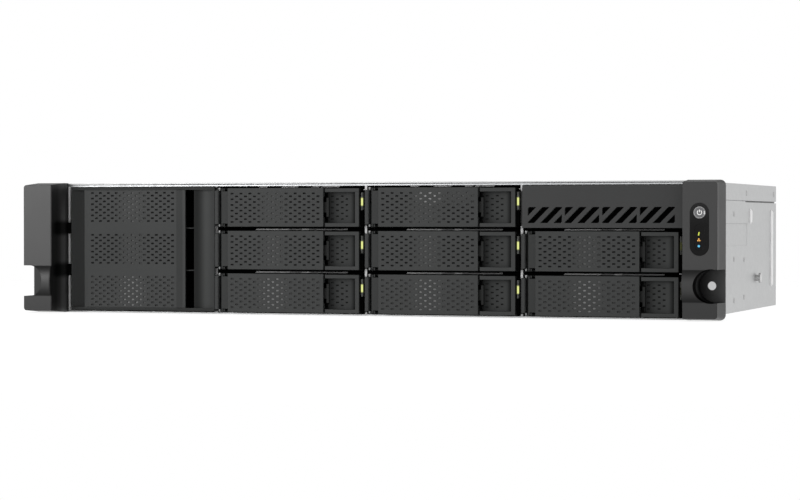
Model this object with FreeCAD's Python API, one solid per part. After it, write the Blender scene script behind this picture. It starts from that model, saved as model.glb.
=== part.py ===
"""Two-unit rack storage enclosure with eight lever-front drive trays.

The model is built with X to the right, Z up from the underside and Y running back
from the front faces of the rack ears.  Every shape is moved once, on export, so that
the finished part has its origin at the bottom centre of its overall box.
"""
import FreeCAD, Part
import math
import os

Vector = FreeCAD.Vector
AXIS_X = Vector(1, 0, 0)
AXIS_Y = Vector(0, 1, 0)
AXIS_Z = Vector(0, 0, 1)

# ---------------------------------------------------------------- driving sizes (mm)
# How far a cutting block runs past the face it opens, and joined blocks into each other
past = 1.0

# Chassis
rack_hole_spacing = 465.1
screw_to_side_gap = 13.25
chassis_height = 88.3
chassis_rear_y = 317.2
floor_thickness = 1.0
side_thickness = 1.2
cover_thickness = 0.9
cover_flange_height = 11.5
cover_seam_gap = 0.3
rear_seam_gap = 1.1
rear_seam_lead = 13.4
sheet_clearance = 0.3
inner_lip_thickness = 1.4
inner_lip_overlap = 4.0
inner_lip_start_gap = 1.0

# Pressed features of the sides, placed by their distance from the ear face and floor
rail_band_low_z = 45.6
rail_band_high_z = 60.4
rail_band_end_y = 205.0
rail_band_depth = 0.4
bead_radius = 1.7
bead_end_slope = 1.2
front_bead_y = 214.5
front_bead_length = 11.5
front_bead_seam_gap = 5.2
rear_bead_inset = 21.2
rear_bead_low_z = 14.2
rear_bead_seam_gap = 5.9
stud_y = 238.0
stud_z = 22.0
stud_neck_radius = 2.2
stud_neck_height = 2.2
stud_head_radius = 3.5
stud_head_height = 1.4

# Rack ears
ear_hole_margin = 8.55
ear_side_overlap = 2.1
ear_bottom_z = 0.15
ear_top_rise = 0.3
ear_front_inset = 1.5
left_ear_draft = 1.3
right_ear_draft = 0.4
ear_corner_radius = 3.5
flange_front_y = 18.0
flange_thickness = 1.6
ear_cavity_wall = 2.6
ear_front_wall = 4.0
ear_skirt_thickness = 0.8
ear_skirt_back_y = 22.8
rack_hole_z = 21.9
rack_hole_radius = 2.75
screw_pocket_radius = 10.4
screw_pocket_offset = 2.85
boss_rise = 3.0

# Status window, button and lenses on the right ear
window_margin = 12.75
window_width = 12.1
window_low_z = 41.0
window_length = 32.9
window_fit = 0.05
button_drop = 5.95
button_radius = 3.8
button_thickness = 1.4
button_travel = 0.8
button_play = 0.2
button_stem_size = 2.6
button_stem_length = 9.0
groove_width = 6.1
groove_rise = 3.15
groove_length = 16.65
groove_depth = 0.35
lens_half_size = 0.9
lens_rises = (10.5, 6.6, 2.85)
lens_play = 0.03

# Drive bays
outer_column_extra = 2.95
divider_side_gap = 0.375
divider_thickness = 1.55
bay_front_gap = 0.4
bay_back_y = 184.0
tray_row_gap = 2.75
tray_head_gap = 1.35
first_row_z = 1.7
shelf_thickness = 0.6
shelf_back_gap = 6.0
shelf_web = 12.0
shelf_tongue_left_x = 28.0
shelf_tongue_right_inset = 17.0
shelf_side_setback = 8.0
header_thickness = 1.05
header_front_depth = 14.0
header_rear_depth = 12.0
header_gap = 0.4

# Tray front, measured from the left divider's middle and the tray's own underside
face_y = 17.5
rim_left_x = 2.2
rim_right_x = 4.5
rim_end_inset = 1.6
frame_depth = 8.7
frame_wall = 1.2
hinge_x = 5.9
hinge_depth = 2.7
barrel_radius = 1.0
barrel_play = 0.2
barrel_end_inset = 0.4
lug_wall = 0.9
lug_height = 1.7
barrel_gap = 0.3
strip_notch_rise = 1.4
strip_notch_slant = 0.6
strip_step = 0.7
strip_plate_gap = 0.9
strip_front_depth = 0.5
strip_back_depth = 2.4
plate_left_x = 10.6
plate_right_inset = 27.9
plate_thickness = 1.8
grip_lip_width = 2.6
grip_lip_depth = 3.5
stiffener_height = 1.2
stiffener_depth = 3.4
pocket_plate_gap = 1.2
pocket_wall = 3.2
frame_right_inset = 2.4
frame_border = 2.5
frame_top_inset = 0.4
pocket_floor_inset = 3.6
pocket_floor_left_depth = 5.9
pocket_floor_right_depth = 2.1
pocket_floor_sag = 1.3
pocket_floor_thickness = 1.2
pocket_slot_count = 2
pocket_slot_length = 9.0
pocket_slot_height = 2.6
side_flange_overlap = 1.4
side_flange_right_inset = 1.2
side_flange_front_depth = 3.7
side_flange_inset = 1.0
front_window_count = 2
front_window_mullion = 2.0

# Lever air holes
lever_hole_columns = 5
lever_hole_rows = 3
lever_hole_left_margin = 4.9
lever_hole_right_margin = 3.9
lever_hole_end_margin = 4.2
lever_hole_width = 8.0
lever_hole_height = 3.6

# Lever latch
latch_length = 11.1
latch_tab_gap = 0.3
latch_tab_thickness = 1.7
latch_tab_height = 12.6
latch_stem_height = 7.0
latch_stem_thickness = 1.7
latch_tab_recess = 0.6
latch_nose_length = 1.1
latch_nose_depth = 1.2
latch_travel = 2.5
latch_play = 0.3
guide_lead = 1.5
guide_width = 7.0
guide_wall = 1.1

# Light pipe
lens_overlap = 0.7
lens_width = 1.8
lens_low_z = 11.0
lens_top_inset = 2.8
lens_front_depth = 3.2
lens_front_bevel = 0.5
lens_pocket_play = 0.05

# Tray sled
sled_left_x = 2.1
sled_right_inset = 1.3
sled_back_gap = 10.0
sled_thickness = 0.9
sled_wall_height = 14.0
sled_rear_wall_height = 7.0
sled_drop = 0.4
runner_gap = 0.3
sled_window_margin = 14.0
sled_cross_bar = 16.0

# Intake cover over the first column
cover_left_gap = 4.55
cover_right_overlap = 1.7
cover_low_rise = 0.15
cover_top_gap = 0.35
cover_depth = 5.7
cover_wall = 2.0
cover_recess_margin = 0.9
cover_recess_width = 9.0
cover_recess_left_depth = 0.7
cover_recess_right_depth = 3.5
cover_recess_sag = 0.8
cover_border = 2.0
grip_strip_width = 5.7
grip_strip_depth = 0.3
grip_slot_width = 5.9
grip_scoop_width = 16.1
grip_scoop_left_depth = 1.3
grip_scoop_right_depth = 0.5
grip_scoop_sag = 2.1
scoop_edge = 1.0
grip_rib_thickness = 0.9
grip_rib_depth = 3.0
cover_hole_left_margin = 8.9
cover_hole_right_margin = 6.0
cover_hole_columns = 5
cover_hole_rows = 3
cover_hole_end_margin = 4.1
cover_hole_width = 7.4
cover_hole_height = 3.6
clip_half_height = 4.0
clip_front_depth = 3.7
clip_leg_thickness = 1.0
clip_leg_length = 9.8

# Vent panel over the last column's top bay
vent_left_gap = 1.9
vent_right_gap = 2.55
vent_low_drop = 0.6
vent_depth = 5.3
vent_window_count = 4
vent_window_right_margin = 5.45
vent_window_gap = 1.95
vent_window_height = 10.2
vent_window_left_margin = 3.8
vent_window_rise = 3.15
vent_slot_width = 4.7
vent_slot_pitch = 8.8
vent_slot_count = 4

# Backplane and drive connectors
board_thickness = 1.6
backplane_low_z = 2.0
backplane_top_gap = 0.95
backplane_window_width = 62.0
backplane_window_height = 12.0
backplane_window_offset_x = 34.0
backplane_window_offset_z = 12.0
connector_left_x = 36.0
connector_width = 34.0
connector_height = 6.4
connector_depth = 8.5
connector_z = 4.0
connector_slot_height = 2.4
connector_slot_depth = 5.0
connector_slot_wall = 1.6

# Rear compartment
rear_panel_thickness = 1.2
rear_panel_top_gap = 0.4
rear_lip_depth = 11.0
supply_width = 81.5
supply_height = 40.5
supply_length = 150.0
supply_side_gap = 2.6
supply_fan_radius = 18.6
supply_fan_offset_x = 24.0
supply_fan_depth = 16.0
supply_rotor_radius = 17.6
supply_hub_radius = 8.0
supply_rotor_depth = 10.0
supply_blade_count = 5
inlet_offset_x = 60.0
inlet_width = 27.0
inlet_height = 19.5
inlet_body_depth = 22.0
inlet_cavity_width = 23.8
inlet_cavity_height = 15.8
inlet_cavity_depth = 15.5
inlet_pin_width = 2.0
inlet_pin_height = 4.0
inlet_pin_spacing = 7.0
inlet_pin_length = 11.0

fan_top_gap = 3.9
fan_depth = 25.0
fan_bore_wall = 2.0
fan_side_gap = 9.1
fan_spacing = 2.0
fan_low_z = 3.5
fan_corner_chamfer = 4.0
fan_rib_depth = 2.5
fan_rib_width = 5.0
hub_radius = 17.0
hub_depth = 18.0
rotor_clearance = 1.0
blade_count = 5
blade_thickness = 1.6
blade_pitch = 38.0
blade_root_share = 0.75
grille_slot_height = 7.0
grille_slot_pitch = 10.5
grille_spine_width = 5.0

mainboard_supply_gap = 30.0
mainboard_fan_gap = 5.0
mainboard_front_gap = 20.0
mainboard_rear_gap = 3.0
mainboard_standoff = 6.0
standoff_size = 6.0
standoff_inset = 6.0
heatsink_front_gap = 6.0
heatsink_width = 58.0
heatsink_length = 52.0
heatsink_base = 4.0
heatsink_height = 24.0
heatsink_fins = 9
heatsink_fin_thickness = 1.4

port_play = 0.4
port_panel_reach = 0.4
jack_stack_width = 16.4
jack_stack_height = 27.0
jack_stack_depth = 21.0
jack_stack_gap = 3.0
jack_stack_count = 2
jack_width = 11.8
jack_height = 8.4
jack_depth = 13.0
jack_low_offset = 3.0
jack_pitch = 12.6
serial_width = 14.4
serial_height = 15.6
serial_depth = 18.0
serial_gap = 3.6
serial_count = 2
serial_mouth_width = 12.4
serial_mouth_height = 5.0
serial_mouth_depth = 9.0
serial_mouth_pitch = 7.4
serial_tongue = 1.8
serial_tongue_drop = 0.8
serial_tongue_inset = 1.0

bracket_width = 18.4
bracket_spacing = 2.0
bracket_count = 2
bracket_low_z = 5.0
bracket_top_gap = 4.4
bracket_thickness = 0.8
bracket_ear_depth = 9.0
bracket_slot_width = 12.0
bracket_slot_inset = 6.0

# ---------------------------------------------------------------- worked-out places
rack_hole_x = rack_hole_spacing / 2
chassis_half_width = rack_hole_x - screw_to_side_gap
side_inner_x = chassis_half_width - side_thickness
rear_panel_front_y = chassis_rear_y - rear_panel_thickness
cover_underside_z = chassis_height - cover_thickness
seam_z = chassis_height - cover_flange_height
rear_seam_start_y = bay_back_y + rear_seam_lead
front_bead_high_z = seam_z - front_bead_seam_gap
front_bead_low_z = front_bead_high_z - front_bead_length
rear_bead_high_z = seam_z - rear_bead_seam_gap
rear_bead_y = chassis_rear_y - rear_bead_inset

# Ears, window and button
ear_outer_x = rack_hole_x + ear_hole_margin
ear_inner_x = chassis_half_width - ear_side_overlap
ear_top_z = chassis_height + ear_top_rise
screw_pocket_x = rack_hole_x + screw_pocket_offset
window_x = ear_outer_x - window_margin
window_high_z = window_low_z + window_length
window_thickness = button_thickness + button_travel + button_play
button_z = window_high_z - button_drop
groove_low_z = window_low_z + groove_rise
groove_high_z = groove_low_z + groove_length
lens_heights = tuple(groove_low_z + rise for rise in lens_rises)

# Columns and rows of bays
header_top_z = cover_underside_z - header_gap
header_low_z = header_top_z - header_thickness
divider_half = divider_thickness / 2
outer_divider_x = side_inner_x - divider_side_gap - divider_half
column_pitch = (outer_divider_x - outer_column_extra) / 2
divider_places = (-outer_divider_x, -column_pitch, 0.0, column_pitch, outer_divider_x)
row_count = 3
row_pitch = (header_low_z - tray_head_gap + tray_row_gap - first_row_z) / row_count
row_floor_z = tuple(first_row_z + row * row_pitch for row in range(row_count))
shelf_top_z = tuple(z - sled_drop - runner_gap for z in row_floor_z[1:])
shelf_middle_z = tuple(z - shelf_thickness / 2 for z in shelf_top_z)
cover_back_y = face_y + cover_depth
bay_front_y = cover_back_y + bay_front_gap
shelf_back_y = bay_back_y - shelf_back_gap

# Tray front, lever and latch
face_height = row_pitch - tray_row_gap
frame_top_z = face_height - frame_top_inset
frame_back_y = face_y + frame_depth
frame_right_x = column_pitch - frame_right_inset
pocket_right_x = frame_right_x - pocket_wall
plate_right_x = column_pitch - plate_right_inset
pocket_left_x = plate_right_x + pocket_plate_gap
pocket_floor_left_x = pocket_left_x + pocket_floor_inset
pocket_floor_left_y = face_y + pocket_floor_left_depth
pocket_floor_right_y = face_y + pocket_floor_right_depth
side_flange_left_x = frame_right_x - side_flange_overlap
side_flange_right_x = column_pitch - side_flange_right_inset
side_flange_front_y = face_y + side_flange_front_depth
plate_back_y = face_y + plate_thickness
grip_lip_back_y = face_y + grip_lip_depth
stiffener_back_y = face_y + stiffener_depth
lever_first_hole_x = plate_left_x + lever_hole_left_margin
lever_last_hole_x = plate_right_x - lever_hole_right_margin
hinge_y = face_y + hinge_depth
strip_front_y = face_y + strip_front_depth
strip_back_y = face_y + strip_back_depth
strip_right_x = plate_left_x - strip_plate_gap
lug_bore_radius = barrel_radius + barrel_play
lug_right_x = hinge_x + lug_bore_radius + lug_wall
lug_front_y = hinge_y - barrel_radius - lug_wall / 2
face_middle_z = face_height / 2
latch_left_x = plate_right_x - latch_length
latch_tab_left_x = pocket_left_x + latch_tab_gap
latch_tab_low_z = face_middle_z - latch_tab_height / 2
latch_tab_high_z = face_middle_z + latch_tab_height / 2
latch_stem_low_z = face_middle_z - latch_stem_height / 2
latch_stem_high_z = face_middle_z + latch_stem_height / 2
latch_front_y = plate_back_y + latch_play
latch_tab_back_y = frame_back_y - latch_tab_recess
guide_left_x = latch_left_x - guide_lead
lens_left_x = frame_right_x - lens_overlap
lens_high_z = frame_top_z - lens_top_inset
lens_front_y = face_y + lens_front_depth
sled_right_x = column_pitch - sled_right_inset
sled_back_y = bay_back_y - sled_back_gap

# Intake cover and vent panel
cover_left_x = -outer_divider_x + cover_left_gap
cover_right_x = -column_pitch + cover_right_overlap
cover_low_z = first_row_z + cover_low_rise
cover_high_z = header_low_z - cover_top_gap
cover_recess_left_x = cover_left_x + cover_recess_margin
cover_recess_right_x = cover_recess_left_x + cover_recess_width
cover_recess_left_y = face_y + cover_recess_left_depth
cover_recess_right_y = face_y + cover_recess_right_depth
grip_slot_right_x = cover_right_x - grip_scoop_width
grip_slot_left_x = grip_slot_right_x - grip_slot_width
grip_strip_left_x = grip_slot_left_x - grip_strip_width
grip_scoop_left_y = face_y + grip_scoop_left_depth
grip_scoop_right_y = face_y + grip_scoop_right_depth
grip_rib_front_y = face_y + grip_rib_depth
cover_hole_left_x = cover_recess_right_x + cover_hole_left_margin
cover_hole_right_x = grip_strip_left_x - cover_hole_right_margin
clip_reach_x = -(ear_inner_x - sheet_clearance)
clip_front_y = face_y + clip_front_depth
clip_leg_back_y = clip_front_y + clip_leg_length
vent_left_x = column_pitch + vent_left_gap
vent_right_x = outer_divider_x - vent_right_gap
vent_low_z = row_floor_z[2] - vent_low_drop
vent_back_y = face_y + vent_depth
vent_window_low_z = vent_low_z + vent_window_rise
vent_first_window_x = vent_left_x + vent_window_left_margin
vent_window_span = vent_right_x - vent_window_right_margin - vent_first_window_x
vent_window_width = (vent_window_span - (vent_window_count - 1) * vent_window_gap) / vent_window_count
backplane_high_z = header_low_z - backplane_top_gap

# Rear compartment: what stands between the supply and the fans is spread evenly
supply_low_z = floor_thickness
supply_front_y = rear_panel_front_y - supply_length
supply_left_x = -side_inner_x + supply_side_gap
supply_right_x = supply_left_x + supply_width
fan_size = cover_underside_z - fan_top_gap - fan_low_z
fan_bore_radius = fan_size / 2 - fan_bore_wall
fan_pitch = fan_size + fan_spacing
fan_left_x = side_inner_x - fan_side_gap - fan_pitch - fan_size
bracket_pitch = bracket_width + bracket_spacing
bracket_high_z = cover_underside_z - bracket_top_gap
bracket_row_width = bracket_count * bracket_pitch - bracket_spacing
jack_row_width = jack_stack_count * (jack_stack_width + jack_stack_gap) - jack_stack_gap
serial_row_width = serial_count * (serial_width + serial_gap) - serial_gap
rear_rows_width = bracket_row_width + jack_row_width + serial_row_width
rear_row_gap = (fan_left_x - supply_right_x - rear_rows_width) / 4
bracket_left_x = supply_right_x + rear_row_gap
jack_left_x = bracket_left_x + bracket_row_width + rear_row_gap
serial_left_x = jack_left_x + jack_row_width + rear_row_gap
mainboard_left_x = supply_right_x + mainboard_supply_gap
mainboard_right_x = fan_left_x - mainboard_fan_gap
mainboard_front_y = bay_back_y + mainboard_front_gap
mainboard_back_y = rear_panel_front_y - mainboard_rear_gap
mainboard_low_z = floor_thickness + mainboard_standoff
mainboard_top_z = mainboard_low_z + board_thickness
heatsink_x = (mainboard_left_x + mainboard_right_x) / 2
heatsink_front_y = mainboard_front_y + heatsink_front_gap
front_most_y = -boss_rise
part_middle_y = (front_most_y + chassis_rear_y) / 2

# Trays are numbered down each column; the last column's top bay has the vent panel.
tray_bays = [(0, 2), (0, 1), (0, 0), (1, 2), (1, 1), (1, 0), (2, 1), (2, 0)]


# ---------------------------------------------------------------- shape helpers
def box(x0, x1, y0, y1, z0, z1):
    """A block between two limits on each axis."""
    return Part.makeBox(x1 - x0, y1 - y0, z1 - z0, Vector(x0, y0, z0))


def fuse(shapes):
    """All the given shapes joined, with faces in one plane merged."""
    joined = shapes[0].fuse(shapes[1:]) if len(shapes) > 1 else shapes[0]
    return joined.removeSplitter()


def cut(shape, tools):
    """The shape with every tool taken out of it."""
    return shape.cut(tools).removeSplitter() if tools else shape


def prism(points, travel):
    """A straight prism over a closed polygon of vectors."""
    return Part.Face(Part.makePolygon(list(points) + [points[0]])).extrude(travel)


def plan_prism(points, z0, z1):
    """A prism standing on a polygon of (x, y) points."""
    return prism([Vector(x, y, z0) for x, y in points], Vector(0, 0, z1 - z0))


def side_prism(points, x0, x1):
    """A prism across X over a polygon of (y, z) points."""
    return prism([Vector(x0, y, z) for y, z in points], Vector(x1 - x0, 0, 0))


def front_prism(points, y0, y1):
    """A prism going back along Y over a polygon of (x, z) points."""
    return prism([Vector(x, y0, z) for x, z in points], Vector(0, y1 - y0, 0))


def rod(x, y, z, axis, radius, length):
    """A cylinder that starts at a point and runs along an axis."""
    return Part.makeCylinder(radius, length, Vector(x, y, z), axis)


def arc_edge(start, middle, end):
    return Part.Arc(start, middle, end).toShape()


def line_edge(start, end):
    return Part.LineSegment(start, end).toShape()


def sagging_arc(start, end, sag, z):
    """An arc in plan from start to end that dips back by sag at its middle."""
    middle = Vector((start[0] + end[0]) / 2, (start[1] + end[1]) / 2 + sag, z)
    return arc_edge(Vector(start[0], start[1], z), middle, Vector(end[0], end[1], z))


def arc_block(start, end, sag, far_y, z0, z1):
    """A block whose one side follows a sagging arc and whose other lies at far_y."""
    corners = [Vector(start[0], start[1], z0), Vector(end[0], end[1], z0),
               Vector(end[0], far_y, z0), Vector(start[0], far_y, z0)]
    edges = [sagging_arc(start, end, sag, z0)]
    edges += [line_edge(corners[1], corners[2]), line_edge(corners[2], corners[3])]
    edges += [line_edge(corners[3], corners[0])]
    return Part.Face(Part.Wire(edges)).extrude(Vector(0, 0, z1 - z0))


def ear_outline(x0, x1, z0, z1, radius, y):
    """A rectangle in an X-Z plane whose two corners at x1 are rounded, as one wire."""
    slant = radius * math.sqrt(0.5)
    low = Vector(x1 - radius + slant, y, z0 + radius - slant)
    high = Vector(x1 - radius + slant, y, z1 - radius + slant)
    spots = [Vector(x0, y, z0), Vector(x1 - radius, y, z0), Vector(x1, y, z0 + radius),
             Vector(x1, y, z1 - radius), Vector(x1 - radius, y, z1), Vector(x0, y, z1)]
    return Part.Wire([line_edge(spots[0], spots[1]), arc_edge(spots[1], low, spots[2]),
                      line_edge(spots[2], spots[3]), arc_edge(spots[3], high, spots[4]),
                      line_edge(spots[4], spots[5]), line_edge(spots[5], spots[0])])


def chamfered_plate(x0, x1, z0, z1, chamfer, y0, y1):
    """An upright plate with its four corners cut off."""
    return front_prism([(x0 + chamfer, z0), (x1 - chamfer, z0), (x1, z0 + chamfer), (x1, z1 - chamfer),
                        (x1 - chamfer, z1), (x0 + chamfer, z1), (x0, z1 - chamfer), (x0, z0 + chamfer)],
                       y0, y1)


def pill_outline(x, z0, z1, width, y):
    """An upright pill in an X-Z plane, as one wire."""
    radius = width / 2
    left, right = x - radius, x + radius
    low, high = z0 + radius, z1 - radius
    edges = [line_edge(Vector(right, y, low), Vector(right, y, high)),
             arc_edge(Vector(right, y, high), Vector(x, y, z1), Vector(left, y, high)),
             line_edge(Vector(left, y, high), Vector(left, y, low)),
             arc_edge(Vector(left, y, low), Vector(x, y, z0), Vector(right, y, low))]
    return Part.Wire(edges)


def pill(x, z0, z1, width, y0, y1):
    """An upright pill-shaped plate that goes back along Y."""
    return Part.Face(pill_outline(x, z0, z1, width, y0)).extrude(Vector(0, y1 - y0, 0))


def mirrored(shape):
    """The shape reflected to the other side of the middle plane."""
    return shape.mirror(Vector(0, 0, 0), AXIS_X)


def hole_field(x0, x1, columns, z0, z1, rows, width, height, y0, y1):
    """Staggered rectangular air holes: every second place of a grid is open."""
    step_x = (x1 - x0) / (columns - 1)
    step_z = (z1 - z0) / (rows - 1)
    holes = []
    for column in range(columns):
        for row in range(rows):
            if (column + row) % 2 == 0:
                cx, cz = x0 + column * step_x, z0 + row * step_z
                holes.append(box(cx - width / 2, cx + width / 2, y0, y1,
                                 cz - height / 2, cz + height / 2))
    return holes


# ---------------------------------------------------------------- chassis sheet metal
def pressed_bead(y, z0, z1):
    """An outward half-round bead on the right side, with sloping ends."""
    ridge = rod(chassis_half_width, y, z0, AXIS_Z, bead_radius, z1 - z0)
    keep = side_prism([(y - 2 * bead_radius, z0), (y + 2 * bead_radius, z0),
                       (y + 2 * bead_radius, z1), (y - 2 * bead_radius, z1)],
                      chassis_half_width - side_thickness / 2, chassis_half_width + bead_radius)
    outer = chassis_half_width + bead_radius
    ends = []
    for end, inward in ((z0, 1), (z1, -1)):
        points = [(chassis_half_width, end), (outer, end),
                  (outer, end + inward * bead_end_slope * bead_radius)]
        ends.append(front_prism(points, y - 2 * bead_radius, y + 2 * bead_radius))
    return cut(ridge.common(keep), ends)


def chassis_side():
    """The right side wall with its beads, rail band and lipped upper edge."""
    flange_back_y = flange_front_y + flange_thickness
    wall_points = [(flange_back_y, 0), (chassis_rear_y, 0),
                   (chassis_rear_y, seam_z - rear_seam_gap),
                   (rear_seam_start_y, seam_z - rear_seam_gap),
                   (rear_seam_start_y, seam_z - cover_seam_gap),
                   (flange_back_y, seam_z - cover_seam_gap)]
    wall = side_prism(wall_points, side_inner_x, chassis_half_width)
    band = box(chassis_half_width - rail_band_depth, chassis_half_width + past, flange_front_y,
               rail_band_end_y, rail_band_low_z, rail_band_high_z)
    wall = cut(wall, [band])
    lip = box(side_inner_x - inner_lip_thickness, side_inner_x,
              bay_back_y + board_thickness + inner_lip_start_gap,
              rear_panel_front_y, seam_z - rear_seam_gap - inner_lip_overlap,
              cover_underside_z - header_gap)
    beads = [pressed_bead(front_bead_y, front_bead_low_z, front_bead_high_z),
             pressed_bead(rear_bead_y, rear_bead_low_z, rear_bead_high_z)]
    return fuse([wall, lip] + beads)


def chassis_base():
    """Floor and both sides, folded from one sheet."""
    floor = box(-chassis_half_width, chassis_half_width, bay_front_y, chassis_rear_y, 0, floor_thickness)
    side = chassis_side()
    return fuse([floor, side, mirrored(side)])


def top_cover():
    """Lift-off lid with side flanges that carry on the line of the sides."""
    plate = box(-chassis_half_width, chassis_half_width, bay_front_y, chassis_rear_y,
                cover_underside_z, chassis_height)
    flange = box(chassis_half_width - cover_thickness, chassis_half_width, bay_front_y,
                 chassis_rear_y, seam_z, chassis_height)
    return fuse([plate, flange, mirrored(flange)])


def rail_stud():
    """Mushroom-headed stud that a rack slide rail hooks on."""
    neck = rod(chassis_half_width, stud_y, stud_z, AXIS_X, stud_neck_radius, stud_neck_height)
    head_x = chassis_half_width + stud_neck_height
    head = rod(head_x, stud_y, stud_z, AXIS_X, stud_head_radius, stud_head_height)
    return fuse([neck, head])


def rail_studs():
    stud = rail_stud()
    return Part.makeCompound([stud, mirrored(stud)])


# ---------------------------------------------------------------- bay frame
def bay_shelf(left_divider, right_divider, top_z):
    """A tray runner shelf between two dividers, opened for air, with a tongue at its front."""
    x0, x1 = left_divider + divider_half, right_divider - divider_half
    plate = box(x0, x1, bay_front_y, shelf_back_y, top_z - shelf_thickness, top_z)
    middle_y = (bay_front_y + shelf_back_y) / 2
    windows = []
    for y0, y1 in ((bay_front_y, middle_y), (middle_y, shelf_back_y)):
        windows.append(box(x0 + shelf_web, x1 - shelf_web, y0 + shelf_web, y1 - shelf_web,
                           top_z - shelf_thickness - past, top_z + past))
    notches = ((x0, left_divider + shelf_tongue_left_x), (right_divider - shelf_tongue_right_inset, x1))
    for notch_x0, notch_x1 in notches:
        windows.append(box(notch_x0, notch_x1, bay_front_y - past, bay_front_y + shelf_side_setback,
                           top_z - shelf_thickness - past, top_z + past))
    return cut(plate, windows)


def bay_dividers():
    """The five upright dividers between and beside the columns."""
    return Part.makeCompound([box(x - divider_half, x + divider_half, bay_front_y, bay_back_y,
                                  floor_thickness, header_low_z) for x in divider_places])


def bay_headers():
    """The two flat bars that tie the dividers together above the bays."""
    span = outer_divider_x + divider_half
    ends = ((bay_front_y, bay_front_y + header_front_depth), (bay_back_y - header_rear_depth, bay_back_y))
    return Part.makeCompound([box(-span, span, y0, y1, header_low_z, header_top_z) for y0, y1 in ends])


def bay_shelves():
    """Two runner shelves in each column that holds trays."""
    shelves = []
    for left, right in zip(divider_places[1:-1], divider_places[2:]):
        shelves += [bay_shelf(left, right, top_z) for top_z in shelf_top_z]
    return Part.makeCompound(shelves)


# ---------------------------------------------------------------- rack ears
def ear_body(inner_draft):
    """A right-hand ear's moulded outside: drafted, rounded, with the boss beside its pocket."""
    front = ear_outline(ear_inner_x + inner_draft, ear_outer_x - ear_front_inset,
                        ear_bottom_z + ear_front_inset, ear_top_z - ear_front_inset,
                        ear_corner_radius - ear_front_inset, 0)
    back = ear_outline(ear_inner_x, ear_outer_x, ear_bottom_z, ear_top_z, ear_corner_radius,
                       flange_front_y)
    body = Part.makeLoft([front, back], True, True)
    skirt = box(ear_inner_x, ear_inner_x + ear_skirt_thickness, flange_front_y - past, ear_skirt_back_y,
                ear_bottom_z, ear_top_z)
    return fuse([body, skirt, screw_boss(inner_draft)])


def screw_boss(inner_draft):
    """A shallow half-round swell beside the rack screw pocket."""
    low, high = rack_hole_z - screw_pocket_radius, rack_hole_z + screw_pocket_radius
    x0, x1 = ear_inner_x + inner_draft, screw_pocket_x
    swell = arc_edge(Vector(x0, 0, low), Vector(x0, -boss_rise, rack_hole_z), Vector(x0, 0, high))
    root = flange_front_y / 2
    edges = [swell, line_edge(Vector(x0, 0, high), Vector(x0, root, high)),
             line_edge(Vector(x0, root, high), Vector(x0, root, low)),
             line_edge(Vector(x0, root, low), Vector(x0, 0, low))]
    return Part.Face(Part.Wire(edges)).extrude(Vector(x1 - x0, 0, 0))


def screw_pocket():
    """The D-shaped pocket, open at the outer edge, that the rack screw sits in."""
    low, high = rack_hole_z - screw_pocket_radius, rack_hole_z + screw_pocket_radius
    depth = flange_front_y + 2 * boss_rise
    round_end = rod(screw_pocket_x, -2 * boss_rise, rack_hole_z, AXIS_Y, screw_pocket_radius, depth)
    mouth = box(screw_pocket_x, ear_outer_x + boss_rise, -2 * boss_rise, flange_front_y, low, high)
    return fuse([round_end, mouth])


def ear_cavity():
    """The hollow behind the upper part of an ear."""
    low = rack_hole_z + screw_pocket_radius + ear_cavity_wall
    return box(ear_inner_x + ear_cavity_wall, ear_outer_x - ear_cavity_wall, ear_front_wall,
               flange_front_y, low, ear_top_z - 2 * ear_cavity_wall)


def plain_ear(inner_draft):
    return cut(ear_body(inner_draft), [screw_pocket(), ear_cavity()])


def left_ear():
    return mirrored(plain_ear(left_ear_draft))


def right_ear():
    """The ear with the seat for the status window and the button's well."""
    seat = pill(window_x, window_low_z - window_fit, window_high_z + window_fit,
                window_width + 2 * window_fit, -past, window_thickness)
    return cut(plain_ear(right_ear_draft), [seat, button_stem(button_play, flange_front_y)])


def rack_flange():
    """The right steel flange behind the ear, with its rack screw hole."""
    outline = ear_outline(ear_inner_x, ear_outer_x, ear_bottom_z, ear_top_z, ear_corner_radius,
                          flange_front_y)
    plate = Part.Face(outline).extrude(Vector(0, flange_thickness, 0))
    inner = box(0, side_inner_x, 0, 2 * flange_front_y, -past, ear_top_z + past)
    hole = rod(rack_hole_x, 0, rack_hole_z, AXIS_Y, rack_hole_radius, 2 * flange_front_y)
    return cut(plate, [inner, hole])


def rack_flanges():
    flange = rack_flange()
    return Part.makeCompound([flange, mirrored(flange)])


def status_window():
    """Glossy pill with the button hole, a sunk strip and the lens openings."""
    plate = pill(window_x, window_low_z, window_high_z, window_width, 0, window_thickness)
    button_hole = rod(window_x, -past, button_z, AXIS_Y, button_radius + button_play,
                      window_thickness + 2 * past)
    strip = pill(window_x, groove_low_z, groove_high_z, groove_width, -past, groove_depth)
    return cut(plate, [button_hole, strip] + indicator_blocks(lens_play))


def indicator_blocks(play):
    """One small block for each indicator, grown by a play on its sides."""
    half = lens_half_size + play
    return [box(window_x - half, window_x + half, groove_depth, window_thickness, z - half, z + half)
            for z in lens_heights]


def indicator_lenses():
    return Part.makeCompound(indicator_blocks(0))


def button_stem(play, length):
    """The button's square guide stem, grown by a play on its sides."""
    half = button_stem_size / 2 + play
    return box(window_x - half, window_x + half, 0, length, button_z - half, button_z + half)


def power_button():
    """Round push button on a square guide stem."""
    cap = rod(window_x, 0, button_z, AXIS_Y, button_radius, button_thickness)
    return fuse([cap, button_stem(0, button_stem_length)])


# ---------------------------------------------------------------- drive tray
def hinge_lugs():
    """Two lugs with open-fronted seats that the ends of the lever's barrel snap into."""
    lugs = []
    for z0 in (0, face_height - lug_height):
        lugs.append(box(rim_right_x - past, lug_right_x, lug_front_y, frame_back_y, z0, z0 + lug_height))
    return lugs


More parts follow.
